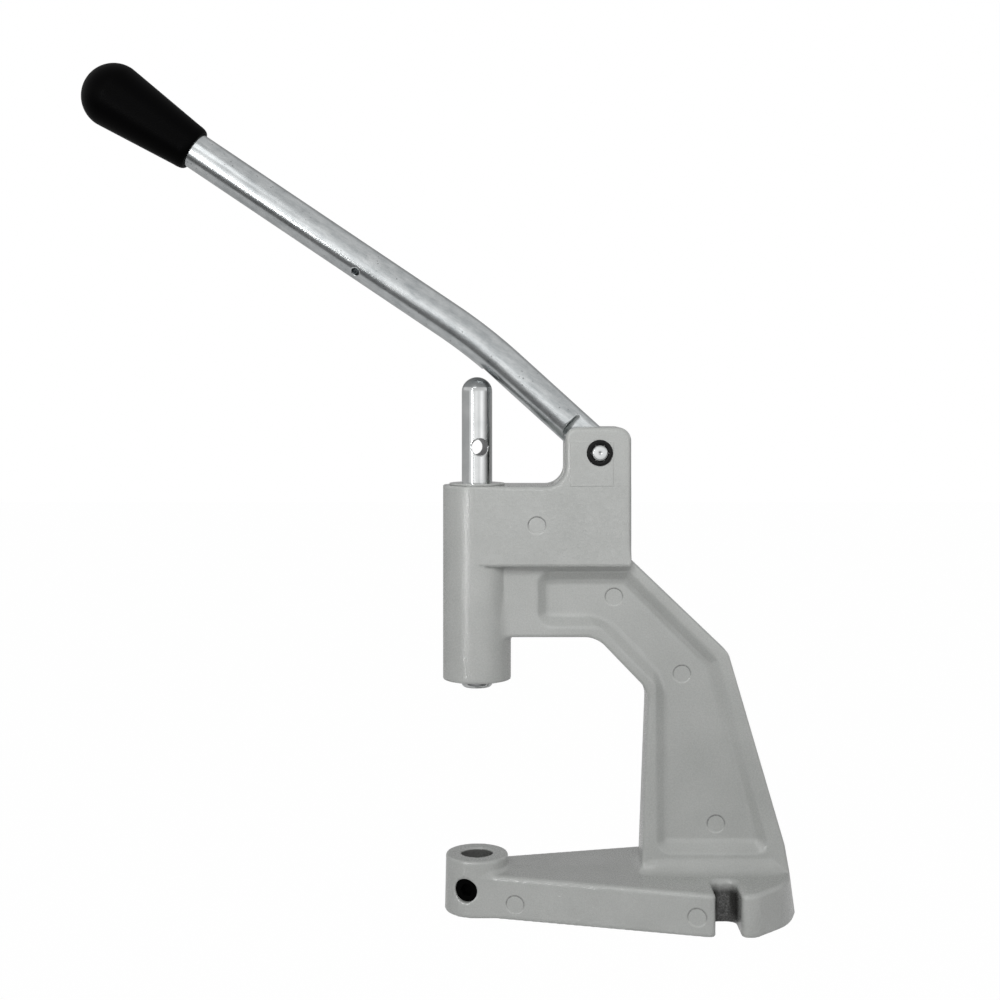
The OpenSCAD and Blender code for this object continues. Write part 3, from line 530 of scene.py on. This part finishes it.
bush = dict(collarR=14.5, collar=1.0, stemR=11.5, length=16.0, bore=8.05, edge=0.3, sides=128, sharpFrom=40)
pin = dict(r=4.0, half=20.35, chamfer=0.6, dimple=0.7, dimpleR=0.75, edge=0.25, sides=64, sharpFrom=40)
lockRing = dict(r=6.75, h=1.5, sheet=0.45, crown=5.5, lip=5.0, grip=4.05, notch=4.8, prongs=6, face=17.65,
                gap=0.02, ease=0.45, shoulderDown=0.08, lipDown=0.12, gripDown=0.4, wallLean=0.1,
                notchWave=(0.80, 0.93), edge=0.18, sides=192, sharpFrom=50)


def makeBush():
    # the section of stem and collar as a closed profile, spun round the ram's axis
    b, top = bush, casting["blockTop"]
    stemLow, collarTop = top - b["length"], top + b["collar"]
    profile = [(b["bore"], stemLow), (b["stemR"], stemLow), (b["stemR"], top), (b["collarR"], top),
               (b["collarR"], collarTop), (b["bore"], collarTop)]
    points, faces = spun(softened(profile, b["edge"], 3, True), b["sides"], True)
    return addPiece("topGuideBush", "frame", points, faces, None, ["top_guide_bush"], b["sharpFrom"])


def acrossPress(points, turn=1):
    # from an upright axis to one that runs across the press at the pivot, towards the far side for turn = 1
    x, y, z = points.T
    return np.stack([casting["pivot"][0] + x, z * turn, casting["pivot"][1] - y * turn], 1)


def makePin():
    # half a section from one dimple to the other, spun round the pin's axis and laid across the press
    n = pin
    end = [(0, n["half"] - n["dimple"]), (n["dimpleR"], n["half"]), (n["r"] - n["chamfer"], n["half"]),
           (n["r"], n["half"] - n["chamfer"])]
    side = softened(np.vstack([np.array(end) * (1, -1), end[::-1]]), n["edge"], 3)
    points, faces = spun(side, n["sides"])
    points = acrossPress(points)
    return addPiece("pivotPin", "frame", points, faces, None, ["pivot_pin"], n["sharpFrom"])


def notched(r, angle):
    # pulls the inner edge out to the notch radius between prongs, in narrow bands of the angle
    n = lockRing
    return r + ramp(np.cos(n["prongs"] * angle), *n["notchWave"]) * np.maximum(n["notch"] - r, 0)


def makeLockRing(name, turn, node):
    # bent sheet: from the rim over the crown to the prongs, and back inside at the sheet's thickness, then notched
    n = lockRing
    top, sheet, gap, ease = n["h"], n["sheet"], n["gap"], n["ease"]
    lipTop, gripTop = top - n["lipDown"], top - n["gripDown"]
    profile = [(n["r"], gap), (n["r"], sheet), (n["r"] - ease, sheet + ease),
               (n["crown"] + ease, top - n["shoulderDown"]), (n["crown"], top), (n["lip"], lipTop),
               (n["grip"], gripTop), (n["grip"], gripTop - sheet), (n["lip"], lipTop - sheet),
               (n["crown"] - n["wallLean"], top - sheet), (n["crown"] + n["wallLean"], gap)]
    points, faces = spun(softened(profile, n["edge"], 3, True), n["sides"], True, notched)
    points[:, 2] += n["face"]
    points = acrossPress(points, turn)
    return addPiece(name, "frame", points, faces, None, [node], n["sharpFrom"])


# The grip

grip = dict(start=179.9, length=67.7, r=17.35, dome=16.6, neck=12.35, lip=5.0, mouth=10.6, bore=9.55, boreDeep=30.0,
            mouthChamfer=(0.4, 0.5), easeFrom=(0.8, 1.3), ease=0.02, sides=128, sharpFrom=50)


def makeGrip():
    # a rounded lip, a straight taper that eases off at its wide end, and half an ellipse, spun round the bar
    g = grip
    a = np.linspace(0, math.pi / 2, 10)
    lip = np.stack([g["mouth"] + (g["neck"] - g["mouth"]) * np.sin(a), g["lip"] * (1 - np.cos(a))], 1)
    t = np.linspace(0, 1, 40)[1:]
    long = g["length"] - g["dome"] - g["lip"]
    wider = t - ramp(t, *g["easeFrom"]) * g["ease"]
    taper = np.stack([g["neck"] + (g["r"] - g["neck"]) * wider, g["lip"] + long * t], 1)
    b = np.linspace(0, math.pi / 2, 28)[1:]
    dome = np.stack([taper[-1, 0] * np.cos(b), g["length"] - g["dome"] + g["dome"] * np.sin(b)], 1)
    dome[-1, 0] = 0
    chamferOut, chamferUp = g["mouthChamfer"]
    inner = [(0, g["boreDeep"]), (g["bore"], g["boreDeep"]), (g["bore"], chamferUp), (g["bore"] + chamferOut, 0)]
    points, faces = spun(np.vstack([inner, lip, taper, dome]), g["sides"])
    v = lever
    s, k = sineCosine(v["bend"])
    out, up = points[:, 2] + g["start"], points[:, 0]
    local = np.stack([v["bendOut"] + out * k + up * s, points[:, 1], v["lift"] - out * s + up * k], 1)
    place = leverToPress(local) + atPivot()
    return addPiece("leverGrip", "lever", place, faces, None, ["lever_grip"], g["sharpFrom"])


# The return spring inside the boss

spring = dict(low=152.0, high=202.7, wire=1.7, r=10.05, turns=10, endPitch=2.4, rings=24, sides=12, stroke=20.8)


def makeSpring():
    # a wire carried along a helix that rises slowly in its first and last turn, and evenly between
    g = spring
    turn = np.linspace(0, g["turns"], g["turns"] * g["rings"] + 1)
    tall = g["high"] - g["low"] - g["wire"]
    pitch = (tall - 2 * g["endPitch"]) / (g["turns"] - 2)
    middle = np.clip(turn - 1, 0, g["turns"] - 2)
    ends = np.minimum(turn, 1) + np.maximum(turn - g["turns"] + 1, 0)
    z = g["low"] + g["wire"] / 2 + g["endPitch"] * ends + pitch * middle
    angle = turn * 2 * math.pi
    out = np.stack([np.cos(angle), np.sin(angle), 0 * angle], 1)
    path = out * g["r"] + z[:, None] * (0, 0, 1)
    along = np.gradient(path, axis=0)
    along /= np.linalg.norm(along, axis=1, keepdims=True)
    out -= along * np.sum(out * along, 1, keepdims=True)
    out /= np.linalg.norm(out, axis=1, keepdims=True)
    up = np.cross(along, out)
    t = 2 * math.pi * np.arange(g["sides"]) / g["sides"]
    offset = out[:, None] * np.cos(t)[:, None] + up[:, None] * np.sin(t)[:, None]
    rings = path[:, None] + offset * g["wire"] / 2
    points = np.vstack([rings.reshape(-1, 3), path[:1], path[-1:]])
    index = np.arange(len(path) * g["sides"]).reshape(len(path), g["sides"])
    start, end = index[0], index[-1]
    first, last = (np.full(g["sides"], len(points) - i) for i in (2, 1))
    faces = np.concatenate([strips(index), np.stack([np.roll(start, -1), start, first], 1),
                            np.stack([end, np.roll(end, -1), last], 1)])
    piece = addPiece("returnSpring", "frame", points, faces, None, ["return_spring"])
    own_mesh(piece)
    return piece


# Materials

def newMaterial(name, **sockets):
    # a material, its principled shader with some inputs set, and the place in the press's own coordinates, in metres
    material = bpy.data.materials.new(name)
    material.use_nodes = True
    shader = material.node_tree.nodes["Principled BSDF"]
    for socket, value in sockets.items():
        shader.inputs[socket.replace("_", " ")].default_value = value
    return material, shader, addNode("TexCoord", tree=material.node_tree).outputs["Object"]


def wire(shader, **sockets):
    # links values to the shader's inputs
    for socket, value in sockets.items():
        shader.id_data.links.new(value, shader.inputs[socket.replace("_", " ")])


def addNode(kind, inputs=None, tree=None, **settings):
    # a shader node in the given tree, or else in that of its first linked input; what isn't a socket is a value
    inputs, socket = inputs or {}, bpy.types.NodeSocket
    tree = tree or next(value.id_data for value in inputs.values() if isinstance(value, socket))
    node = tree.nodes.new("ShaderNode" + kind)
    for key, value in settings.items():
        setattr(node, key, value)
    for key, value in inputs.items():
        if isinstance(value, socket):
            tree.links.new(value, node.inputs[key])
        else:
            node.inputs[key].default_value = value
    return node


def maths(operation, *values):
    # one operation on sockets and numbers
    return addNode("Math", dict(enumerate(values)), operation=operation).outputs[0]


def times(*values):
    # the product of all values
    return reduce(lambda a, b: maths("MULTIPLY", a, b), values)


def larger(*values):
    # the largest of all values
    return reduce(lambda a, b: maths("MAXIMUM", a, b), values)


def lengthOf(a, b):
    # the square root of a squared plus b squared
    return maths("SQRT", maths("ADD", times(a, a), times(b, b)))


def noise(vector, scale, detail=2.0, roughness=0.5):
    # cloudy noise, mostly between 0.3 and 0.7; a larger scale is finer
    inputs = {"Vector": vector, "Scale": scale, "Detail": detail, "Roughness": roughness}
    return addNode("TexNoise", inputs).outputs["Fac"]


def mapped(value, fromMin, fromMax, toMin, toMax, smooth=False):
    # a value carried from one range to another, and held at its ends
    inputs = {"Value": value, "From Min": fromMin, "From Max": fromMax, "To Min": toMin, "To Max": toMax}
    kind = "SMOOTHSTEP" if smooth else "LINEAR"
    return addNode("MapRange", inputs, interpolation_type=kind).outputs[0]


def spread(clouds, low=0, high=1):
    # noise's main range carried to low and high
    return mapped(clouds, 0.3, 0.7, low, high)


def overRun(place, start, end, atStart=1, atEnd=0, smooth=True):
    # changes from one value to the other while a place goes from start to end, both in mm
    return mapped(place, start * mm, end * mm, atStart, atEnd, smooth)


def near(value, at, half):
    # 1 on a line at "at" and 0 from half away, both in mm
    return overRun(maths("ABSOLUTE", maths("SUBTRACT", value, at * mm)), half * 0.4, half)


def within(value, low, high, soft=0.2):
    # 1 between low and high, with soft ends, all in mm
    return times(overRun(value, low - soft, low + soft, 0, 1), overRun(value, high - soft, high + soft))


def tinted(factor, start, colour):
    # from a start to a colour, as the factor goes from 0 to 1; the start is a colour or the tone so far
    first = start if isinstance(start, bpy.types.NodeSocket) else (*start, 1)
    return addNode("Mix", {0: factor, 6: first, 7: (*colour, 1)}, data_type="RGBA").outputs[2]


def stretched(place, scale):
    # a place with each axis multiplied
    return addNode("Mapping", {"Vector": place, "Scale": scale}).outputs[0]


def axesOf(place):
    # the x, y and z of a place
    return addNode("SeparateXYZ", {0: place}).outputs


def bumps(*layers, under=None):
    # bumps on top of one another, each from a field, its height in mm and a strength
    for field, height, strength in layers:
        inputs = {"Height": field, "Distance": height * mm, "Strength": strength}
        if under is not None:
            inputs["Normal"] = under
        under = addNode("Bump", inputs).outputs[0]
    return under


paint = dict(
    dark=(0.415, 0.426, 0.412), light=(0.465, 0.476, 0.462),
    roughness=(0.2, 0.34),
    coatRoughness=0.05, coatIor=1.8,
    clouds=38, peel=620, ragged=900, coat=1100, grain=2400,  # noise scales
    peelHigh=0.1, coatHigh=0.2, grainHigh=0.014,
    coatFrom=(0.42, 0.56),  # the coat's noise from where it is thin to where it is full
    draft=0.015,  # slope of the mould's two halves, for the shading only
    seamHalf=0.45, seamHigh=0.12,
    marks=[(31.0, 202.0), (71.4, 163.9), (106.8, 123.8), (124.5, 45.7), (19.8, 8.1), (110.0, 9.5)],
    markR=4.6, markDeep=0.3, markWobble=0.5,
    # painted shade: the dark lines on the marks' upper side, round the pads and at the ears' foot; painted highlight:
    # the glints on the marks' lower side
    shadeLineTone=(0.05, 0.05, 0.05), markShadeShare=0.5, padShadeLineShare=0.06,
    glintTone=(0.75, 0.76, 0.74), glintShare=0.35,
    padHigh=0.15, padShadeLine=0.3,
    footShadeLine=(38, 79, 0.35),  # front and rear end of the line at the ears' foot, and its half width
    flatFrom=(17, 17.2),  # the pads' lines stay on faces further than this from the middle
    # painted shade deep in the bolt slots and inside the die socket, in a near-black tone
    paintedShadeTone=(0.045, 0.045, 0.043),
    slotShadeOut=(30, 44, 9), slotShadeUp=(16, 21, 2),  # where the painted shade fades out in the bolt slots, and how raggedly
    socketShadeOut=(8.7, 9.0), socketShadeUp=(27.5, 28.6), socketShadeShare=0.8,
)


def framePaint():
    # grey paint: orange peel in two sizes, faint clouds, the mould's marks with a painted shadow line and a painted
    # glint, painted shade lines round the pads, and painted shade deep in the slots and the die socket
    q = paint
    material, shader, place = newMaterial("framePaint", Specular_IOR_Level=0.5, Coat_Roughness=q["coatRoughness"],
                                          Coat_IOR=q["coatIor"])
    x, y, z = axesOf(place)
    offMiddle = maths("ABSOLUTE", y)
    clouds = noise(place, q["clouds"], 3)
    peel = noise(place, q["peel"], 2, 0.6)
    grain = noise(place, q["grain"], 2, 0.6)
    ragged = noise(place, q["ragged"], 3, 0.7)
    coat = noise(place, q["coat"], 2, 0.6)
    tone = tinted(spread(clouds), q["dark"], q["light"])

    # the ejectors' marks: a sunk disc, a painted shadow line on its upper side and a painted glint on its lower side
    discs, lines, glints = [], [], []
    r = q["markR"]
    for markX, markZ in q["marks"]:
        dx, dz = maths("SUBTRACT", x, markX * mm), maths("SUBTRACT", z, markZ * mm)
        wobble = times(maths("SUBTRACT", ragged, 0.5), q["markWobble"] * mm)
        far = maths("ADD", lengthOf(dx, dz), wobble)
        ring = near(far, r, 0.6)
        upper = overRun(dz, -r * 0.9, r * 0.3, 0, 1)
        discs.append(overRun(far, r - 0.3, r, 0, 1))
        lines.append(times(ring, upper))
        glints.append(times(ring, maths("SUBTRACT", 1, upper)))

    # painted shade: thin dark lines round the pads and at the ears' foot
    front, rear, top, foot = casting["pad"]
    alongX, alongZ = within(x, front, rear), within(z, foot, top)
    half = q["padShadeLine"]
    sides = times(larger(near(x, front, half), near(x, rear, half)), alongZ)
    lid = times(near(z, top, half), alongX)
    footFront, footRear, footHalf = q["footShadeLine"]
    level = times(near(z, foot, footHalf), within(x, footFront, footRear))
    padShadeLines = times(larger(sides, lid, level), overRun(offMiddle, *q["flatFrom"], 0, 1, False))
    # painted shade of the marks' upper lines and of the pads' lines, broken up raggedly
    darker = larger(times(larger(*lines), q["markShadeShare"]), times(padShadeLines, q["padShadeLineShare"]))
    darker = times(darker, mapped(ragged, 0.35, 0.6, 0.35, 1))
    tone = tinted(darker, tone, q["shadeLineTone"])
    # painted glints on the marks' lower side
    tone = tinted(times(larger(*glints), q["glintShare"]), tone, q["glintTone"])

    # painted shade, deep in the bolt slots and inside the die socket
    wallA, wallB = casting["boltSlot"][:2]
    paintedShade = within(x, wallA - 0.4, wallB + 0.4, 0.1)
    for axis, (start, end, raggedBy) in ((offMiddle, q["slotShadeOut"]), (z, q["slotShadeUp"])):
        off = maths("ADD", axis, times(ragged, raggedBy * mm))
        paintedShade = times(paintedShade, overRun(off, start, end))
    socket = times(overRun(lengthOf(x, y), *q["socketShadeOut"], 1, 0, False),
                   overRun(z, *q["socketShadeUp"], q["socketShadeShare"], 0))
    tone = tinted(larger(paintedShade, socket), tone, q["paintedShadeTone"])

    slope, seam = times(offMiddle, -q["draft"]), near(y, 0, q["seamHalf"])
    disc, padArea = times(*discs), times(alongX, alongZ)
    normal = bumps((slope, 1 / mm, 1.0), (disc, q["markDeep"], 1.0), (padArea, q["padHigh"], 1.0),
                   (seam, q["seamHigh"], 1.0), (peel, q["peelHigh"], 0.8), (grain, q["grainHigh"], 0.7))
    wire(shader, Base_Color=tone, Roughness=spread(grain, *q["roughness"]), Normal=normal,
         Coat_Weight=mapped(coat, *q["coatFrom"], 0.1, 1),
         Coat_Normal=bumps((coat, q["coatHigh"], 1.0), under=normal))
    return material


zinc = dict(
    dark=(0.465, 0.492, 0.503), light=(0.76, 0.782, 0.788),
    roughness=(0.17, 0.27),
    streaks=(26, 420, 420), patches=(120, 300, 300),  # noise scales along the bar, round it and outwards
    patchShare=0.65,
    specks=1100, pits=420, few=90,  # few: the patches in which pits are left
    pitTone=(0.06, 0.06, 0.06), pitShare=0.55,
    streakHigh=0.012, speckHigh=0.006,
)


def zincPlate():
    # zinc on drawn steel bar: fine streaks along the bar, crystal patches, pits and specks
    q = zinc
    material, shader, place = newMaterial("zincPlate", Metallic=1.0, Roughness=0.25)
    along = addNode("Attribute", tree=material.node_tree, attribute_name="alongBar").outputs["Vector"]
    streaks = noise(stretched(along, q["streaks"]), 1.0, 4, 0.65)
    patches = noise(stretched(along, q["patches"]), 1.0, 5, 0.7)
    specks = noise(place, q["specks"], 3, 0.7)
    pits = addNode("TexVoronoi", {"Vector": place, "Scale": q["pits"]}).outputs["Distance"]
    few = mapped(noise(place, q["few"], 2), 0.52, 0.6, 0, 1)
    pits = times(mapped(pits, 0.1, 0.22, 1, 0, True), few)
    shade = maths("ADD", times(patches, q["patchShare"]), times(streaks, 1 - q["patchShare"]))
    tone = tinted(mapped(shade, 0.34, 0.66, 0, 1), q["dark"], q["light"])
    tone = tinted(times(pits, q["pitShare"]), tone, q["pitTone"])
    wire(shader, Base_Color=tone, Roughness=spread(specks, *q["roughness"]),
         Normal=bumps((streaks, q["streakHigh"], 0.6), (specks, q["speckHigh"], 0.7)))
    return material


# Bright steel: colours, roughness, noise scales of the ground lines, and for the ram where the dome starts

steels = dict(
    brightSteel=dict(dark=(0.56, 0.575, 0.575), light=(0.66, 0.67, 0.67), roughness=(0.05, 0.13),
                     lines=(900, 900, 14), domeFrom=273.2),
    bushSteel=dict(dark=(0.42, 0.435, 0.43), light=(0.55, 0.56, 0.555), roughness=(0.3, 0.45), lines=(500, 500, 500)),
    springWire=dict(dark=(0.34, 0.34, 0.35), light=(0.46, 0.46, 0.47), roughness=(0.25, 0.4), lines=(300, 300, 300)),
)
# a darker tone for the ram's dome, and a painted shade tone for the walls of its drilled hole, both rougher
darkDomeAndHoleShade = dict(dome=(0.31, 0.322, 0.325), hole=(0.2, 0.205, 0.21), holeWithin=7.2, rougher=0.26)


def turnedSteel(name, dark, light, roughness, lines, domeFrom=None):
    # bright steel with fine lines left by grinding, faint clouds, a darker, rougher dome and painted shade on the
    # rougher walls of the drilled hole
    q = darkDomeAndHoleShade
    material, shader, place = newMaterial(name, Metallic=1.0, Roughness=0.2)
    ground = noise(stretched(place, lines), 1.0, 3, 0.6)
    tone = tinted(spread(noise(place, 120, 3)), dark, light)
    rough = spread(ground, *roughness)
    if domeFrom is not None:
        x, y, up = axesOf(place)
        dome = overRun(up, domeFrom - 0.1, domeFrom + 0.1, 0, 1, False)
        # painted shade on the walls of the drilled hole
        inside = overRun(lengthOf(x, y), q["holeWithin"] - 0.1, q["holeWithin"] + 0.3, 1, 0, False)
        inside = maths("SUBTRACT", inside, dome)
        tone = tinted(inside, tinted(dome, tone, q["dome"]), q["hole"])
        rough = maths("ADD", rough, times(larger(dome, inside), q["rougher"]))
    wire(shader, Base_Color=tone, Roughness=rough, Normal=bumps((ground, 0.005, 0.4)))
    return material


# the set screw's black steel is darker and shines less than the other: painted shade for the screw inside its tapped
# hole
blacks = dict(blackSteel=dict(dark=0.004, light=0.014, shine=0.2),
              shadedScrewSteel=dict(dark=0.0005, light=0.002, shine=0.02))
plastic = dict(dark=(0.0008, 0.0008, 0.0009), light=(0.0018, 0.0018, 0.0019), shine=0.022, roughness=(0.32, 0.46))
bronze = dict(dark=(0.36, 0.22, 0.09), light=(0.55, 0.37, 0.18), roughness=0.4)


def blackSteel(name, dark, light, shine):
    # black oxide: nearly black, a little mottled, with a dull shine
    material, shader, place = newMaterial(name, Metallic=0.2, Roughness=0.45, Specular_IOR_Level=shine)
    clouds = noise(place, 900, 4, 0.6)
    wire(shader, Base_Color=tinted(clouds, (dark,) * 3, (light,) * 3),
         Roughness=spread(clouds, 0.36, 0.55), Normal=bumps((clouds, 0.02, 0.5)))
    return material


def gripPlastic():
    # black moulded plastic: a deep satin black, with a faint flow pattern and very fine grain
    q = plastic
    material, shader, place = newMaterial("gripPlastic", Roughness=0.42, Specular_IOR_Level=q["shine"])
    flow, grain = noise(place, 30, 3), noise(place, 2200, 2, 0.5)
    wire(shader, Base_Color=tinted(flow, q["dark"], q["light"]),
         Roughness=spread(grain, *q["roughness"]), Normal=bumps((grain, 0.02, 0.4)))
    return material


def bearingBronze():
    # sintered bronze, oily and slightly porous
    q = bronze
    material, shader, place = newMaterial("bearingBronze", Metallic=1.0, Roughness=q["roughness"])
    pores = noise(place, 1800, 3, 0.7)
    wire(shader, Base_Color=tinted(pores, q["dark"], q["light"]), Normal=bumps((pores, 0.03, 0.5)))
    return material


def dress(piece, material):
    # gives a piece one material
    piece.data.materials.clear()
    piece.data.materials.append(material)


# Stage, camera and lights

studio = dict(
    camera=(12.07, -777.0, 268.0),
    focal=1.48,  # the lens as a multiple of the frame's width
    shiftY=-0.103, frameWidth=36.0,
    whiteShare=0.008,  # how much of the real floor the camera still sees
    tableEnd=120, tableFade=60,  # the table's front edge, and the run over which it ends
    tableTone=0.62, edgeTone=0.2,
    tableShine=0.25,  # the table's extra glow in reflections
    frontStart=510, frontFull=1100, frontGlow=0.85,  # the floor in front: where its glow starts and is full
    panelTop=(1.0, 9.0),  # the panels fade into the room between these heights, in degrees
    roomLow=0.6, roomHigh=0.14,  # the room from there up to the ceiling
    metalRoomLow=0.85, metalRoomHigh=0.62,  # the same as metal mirrors it
    behind=0.42,  # what is left of that behind the press
    ceiling=0.85, behindFrom=0.35,  # sines of the heights and angles where those are reached
)
# brightness of what stands round the press at its own height, by the angle in degrees away from the camera's
# side and towards the right: three panels in front, a pale wall on the left, a black flag on the right
panels = [(-180, 0.42), (-75, 0.55), (-66, 0.5), (-52, 0.95), (-40, 1.4), (-25, 1.0), (-6, 1.25), (17, 1.0),
          (38, 1.5), (50, 1.1), (66, 0.55), (78, 0.35), (85, 0.05), (95, 0.05), (104, 0.27), (180, 0.42)]
# place and aim in mm, size in m, power in W, roll in degrees; a lamp with diffuse=False is seen in reflections
# only, and one with glossy=False lights surfaces without being reflected
lamps = [
    dict(name="keyLamp", place=(-60, -700, 600), aim=(40, 0, 150), size=(0.5, 0.3), power=3.4, glossy=False),
    dict(name="sparkLamp", place=(-200, -560, 760), aim=(60, 0, 120), size=(0.3, 0.3), power=0.3),
    dict(name="leftStrip", place=(-560, -800, 150), aim=(0, 0, 150), size=(0.05, 0.9), power=2.2, diffuse=False),
    dict(name="barStrip", place=(-300, -950, 178), aim=(-60, 0, 360), size=(0.7, 0.028), power=0.06, roll=-34,
         diffuse=False),
]


def makeFloor():
    # a pale table round the press, a darker floor before it, and further in front a floor that glows; the camera
    # sees white, mixed with a share of all that so that a faint shadow is left
    q = studio
    bpy.ops.mesh.primitive_plane_add(size=6, location=(0, 0, -0.0002))
    floor = bpy.context.object
    floor.name = "floor"
    material, shader, place = newMaterial("floorPaper", Roughness=0.9, Emission_Color=(1, 1, 1, 1))
    tree = material.node_tree
    path = addNode("LightPath", tree=tree).outputs
    ahead = axesOf(place)["Y"]
    table = overRun(ahead, -q["tableEnd"] - q["tableFade"], -q["tableEnd"], 0, 1)
    glow = overRun(ahead, -q["frontFull"], -q["frontStart"], q["frontGlow"], 0, False)
    glow = maths("ADD", glow, times(table, path["Is Glossy Ray"], q["tableShine"]))
    tone = tinted(table, (q["edgeTone"],) * 3, (q["tableTone"],) * 3)
    wire(shader, Base_Color=tone, Emission_Strength=glow)
    white = addNode("Emission", {"Color": (1, 1, 1, 1), "Strength": 1.0}, tree).outputs[0]
    seen = times(path["Is Camera Ray"], 1 - q["whiteShare"])
    mix = addNode("MixShader", {0: seen, 1: shader.outputs[0], 2: white})
    tree.links.new(mix.outputs[0], tree.nodes["Material Output"].inputs["Surface"])
    dress(floor, material)


def makeWorld():
    # panels by the angle round the press, a room above them that metal sees brighter, and white for the camera
    q = studio
    world = scene.world or bpy.data.worlds.new("studio")
    scene.world = world
    world.use_nodes = True
    tree = world.node_tree
    tree.nodes.clear()
    x, y, z = axesOf(addNode("TexCoord", tree=tree).outputs["Generated"])
    turned = maths("ARCTAN2", x, times(y, -1))
    ring = addNode("ValToRGB", {0: mapped(turned, -math.pi, math.pi, 0, 1)})
    stops = ring.color_ramp.elements
    stops[0].position, stops[1].position = 0, 1
    for angle, tone in panels[1:-1]:
        stops.new((angle + 180) / 360)
    for stop, (angle, tone) in zip(stops, panels):
        stop.color = (tone, tone, tone, 1)
    low, high = (math.sin(v * rad) for v in q["panelTop"])
    path = addNode("LightPath", tree=tree).outputs
    room = mapped(z, high, q["ceiling"], q["roomLow"], q["roomHigh"], True)
    metalRoom = times(mapped(z, high, q["ceiling"], q["metalRoomLow"], q["metalRoomHigh"], True),
                      mapped(y, q["behindFrom"], q["ceiling"], 1, q["behind"], True))
    room = addNode("Mix", {0: path["Is Glossy Ray"], 2: room, 3: metalRoom}).outputs[0]
    rise = mapped(z, low, high, 0, 1, True)
    around = addNode("Mix", {0: rise, 2: ring.outputs[0], 3: room}).outputs[0]
    dim, white = (addNode("Background", {"Color": (1, 1, 1, 1), "Strength": strength}, tree).outputs[0]
                  for strength in (around, 1.0))
    mix = addNode("MixShader", {0: path["Is Camera Ray"], 1: dim, 2: white})
    addNode("OutputWorld", {"Surface": mix.outputs[0]})


def addLamp(name, place, aim, size, power, roll=0, diffuse=True, glossy=True):
    # a rectangular lamp turned to its aim
    data = bpy.data.lights.new(name, "AREA")
    data.shape = "RECTANGLE"
    data.size, data.size_y = size
    data.energy = power
    lamp = bpy.data.objects.new(name, data)
    lamp.location = [v * mm for v in place]
    towards = Vector([v * mm for v in aim]) - lamp.location
    lamp.rotation_euler = (towards.to_track_quat("-Z", "Y") @ Quaternion((0, 0, 1), roll * rad)).to_euler()
    lamp.visible_diffuse, lamp.visible_glossy = diffuse, glossy
    scene.collection.objects.link(lamp)


def makeCamera():
    # level, and shifted down instead of tilted, so that uprights stay upright
    data = bpy.data.cameras.new("camera")
    data.sensor_width = studio["frameWidth"]
    data.lens = studio["frameWidth"] * studio["focal"]
    data.shift_y = studio["shiftY"]
    data.clip_start = 0.01
    camera = bpy.data.objects.new("camera", data)
    camera.location = [v * mm for v in studio["camera"]]
    camera.rotation_euler = (math.pi / 2, 0, 0)
    scene.collection.objects.link(camera)
    scene.camera = camera


scene.view_settings.view_transform = "Standard"
makeCamera()
makeFloor()
makeWorld()
for lamp in lamps:
    addLamp(**lamp)
print("made the camera, the stage and", len(lamps), "lamps")

paintMaterial = framePaint()
zincMaterial = zincPlate()
steelMaterial, bushMaterial, wireMaterial = (turnedSteel(name, **look) for name, look in steels.items())
blackMaterial, shadedScrewMaterial = (blackSteel(name, **look) for name, look in blacks.items())
gripMaterial = gripPlastic()
bronzeMaterial = bearingBronze()
print("made the materials")

dress(makeCasting(), paintMaterial)
dress(makeLever(), zincMaterial)
dress(makeRam(), steelMaterial)
dress(makeBush(), paintMaterial)
dress(makePin(), steelMaterial)
dress(makeLockRing("lockRingNear", -1, "lock_ring_near"), blackMaterial)
dress(makeLockRing("lockRingFar", 1, "lock_ring_far"), blackMaterial)
dress(makeGrip(), gripMaterial)
dress(makeSpring(), wireMaterial)
for node, material in {
    "lower_guide_bush": bronzeMaterial, "lever_pivot_sleeve": bronzeMaterial, "ram_retaining_ring": blackMaterial,
    "thrust_washer": bushMaterial, "die_clamp_screw": shadedScrewMaterial,
}.items():
    dress(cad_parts[node], material)
print("dressed the parts that stay as they are")
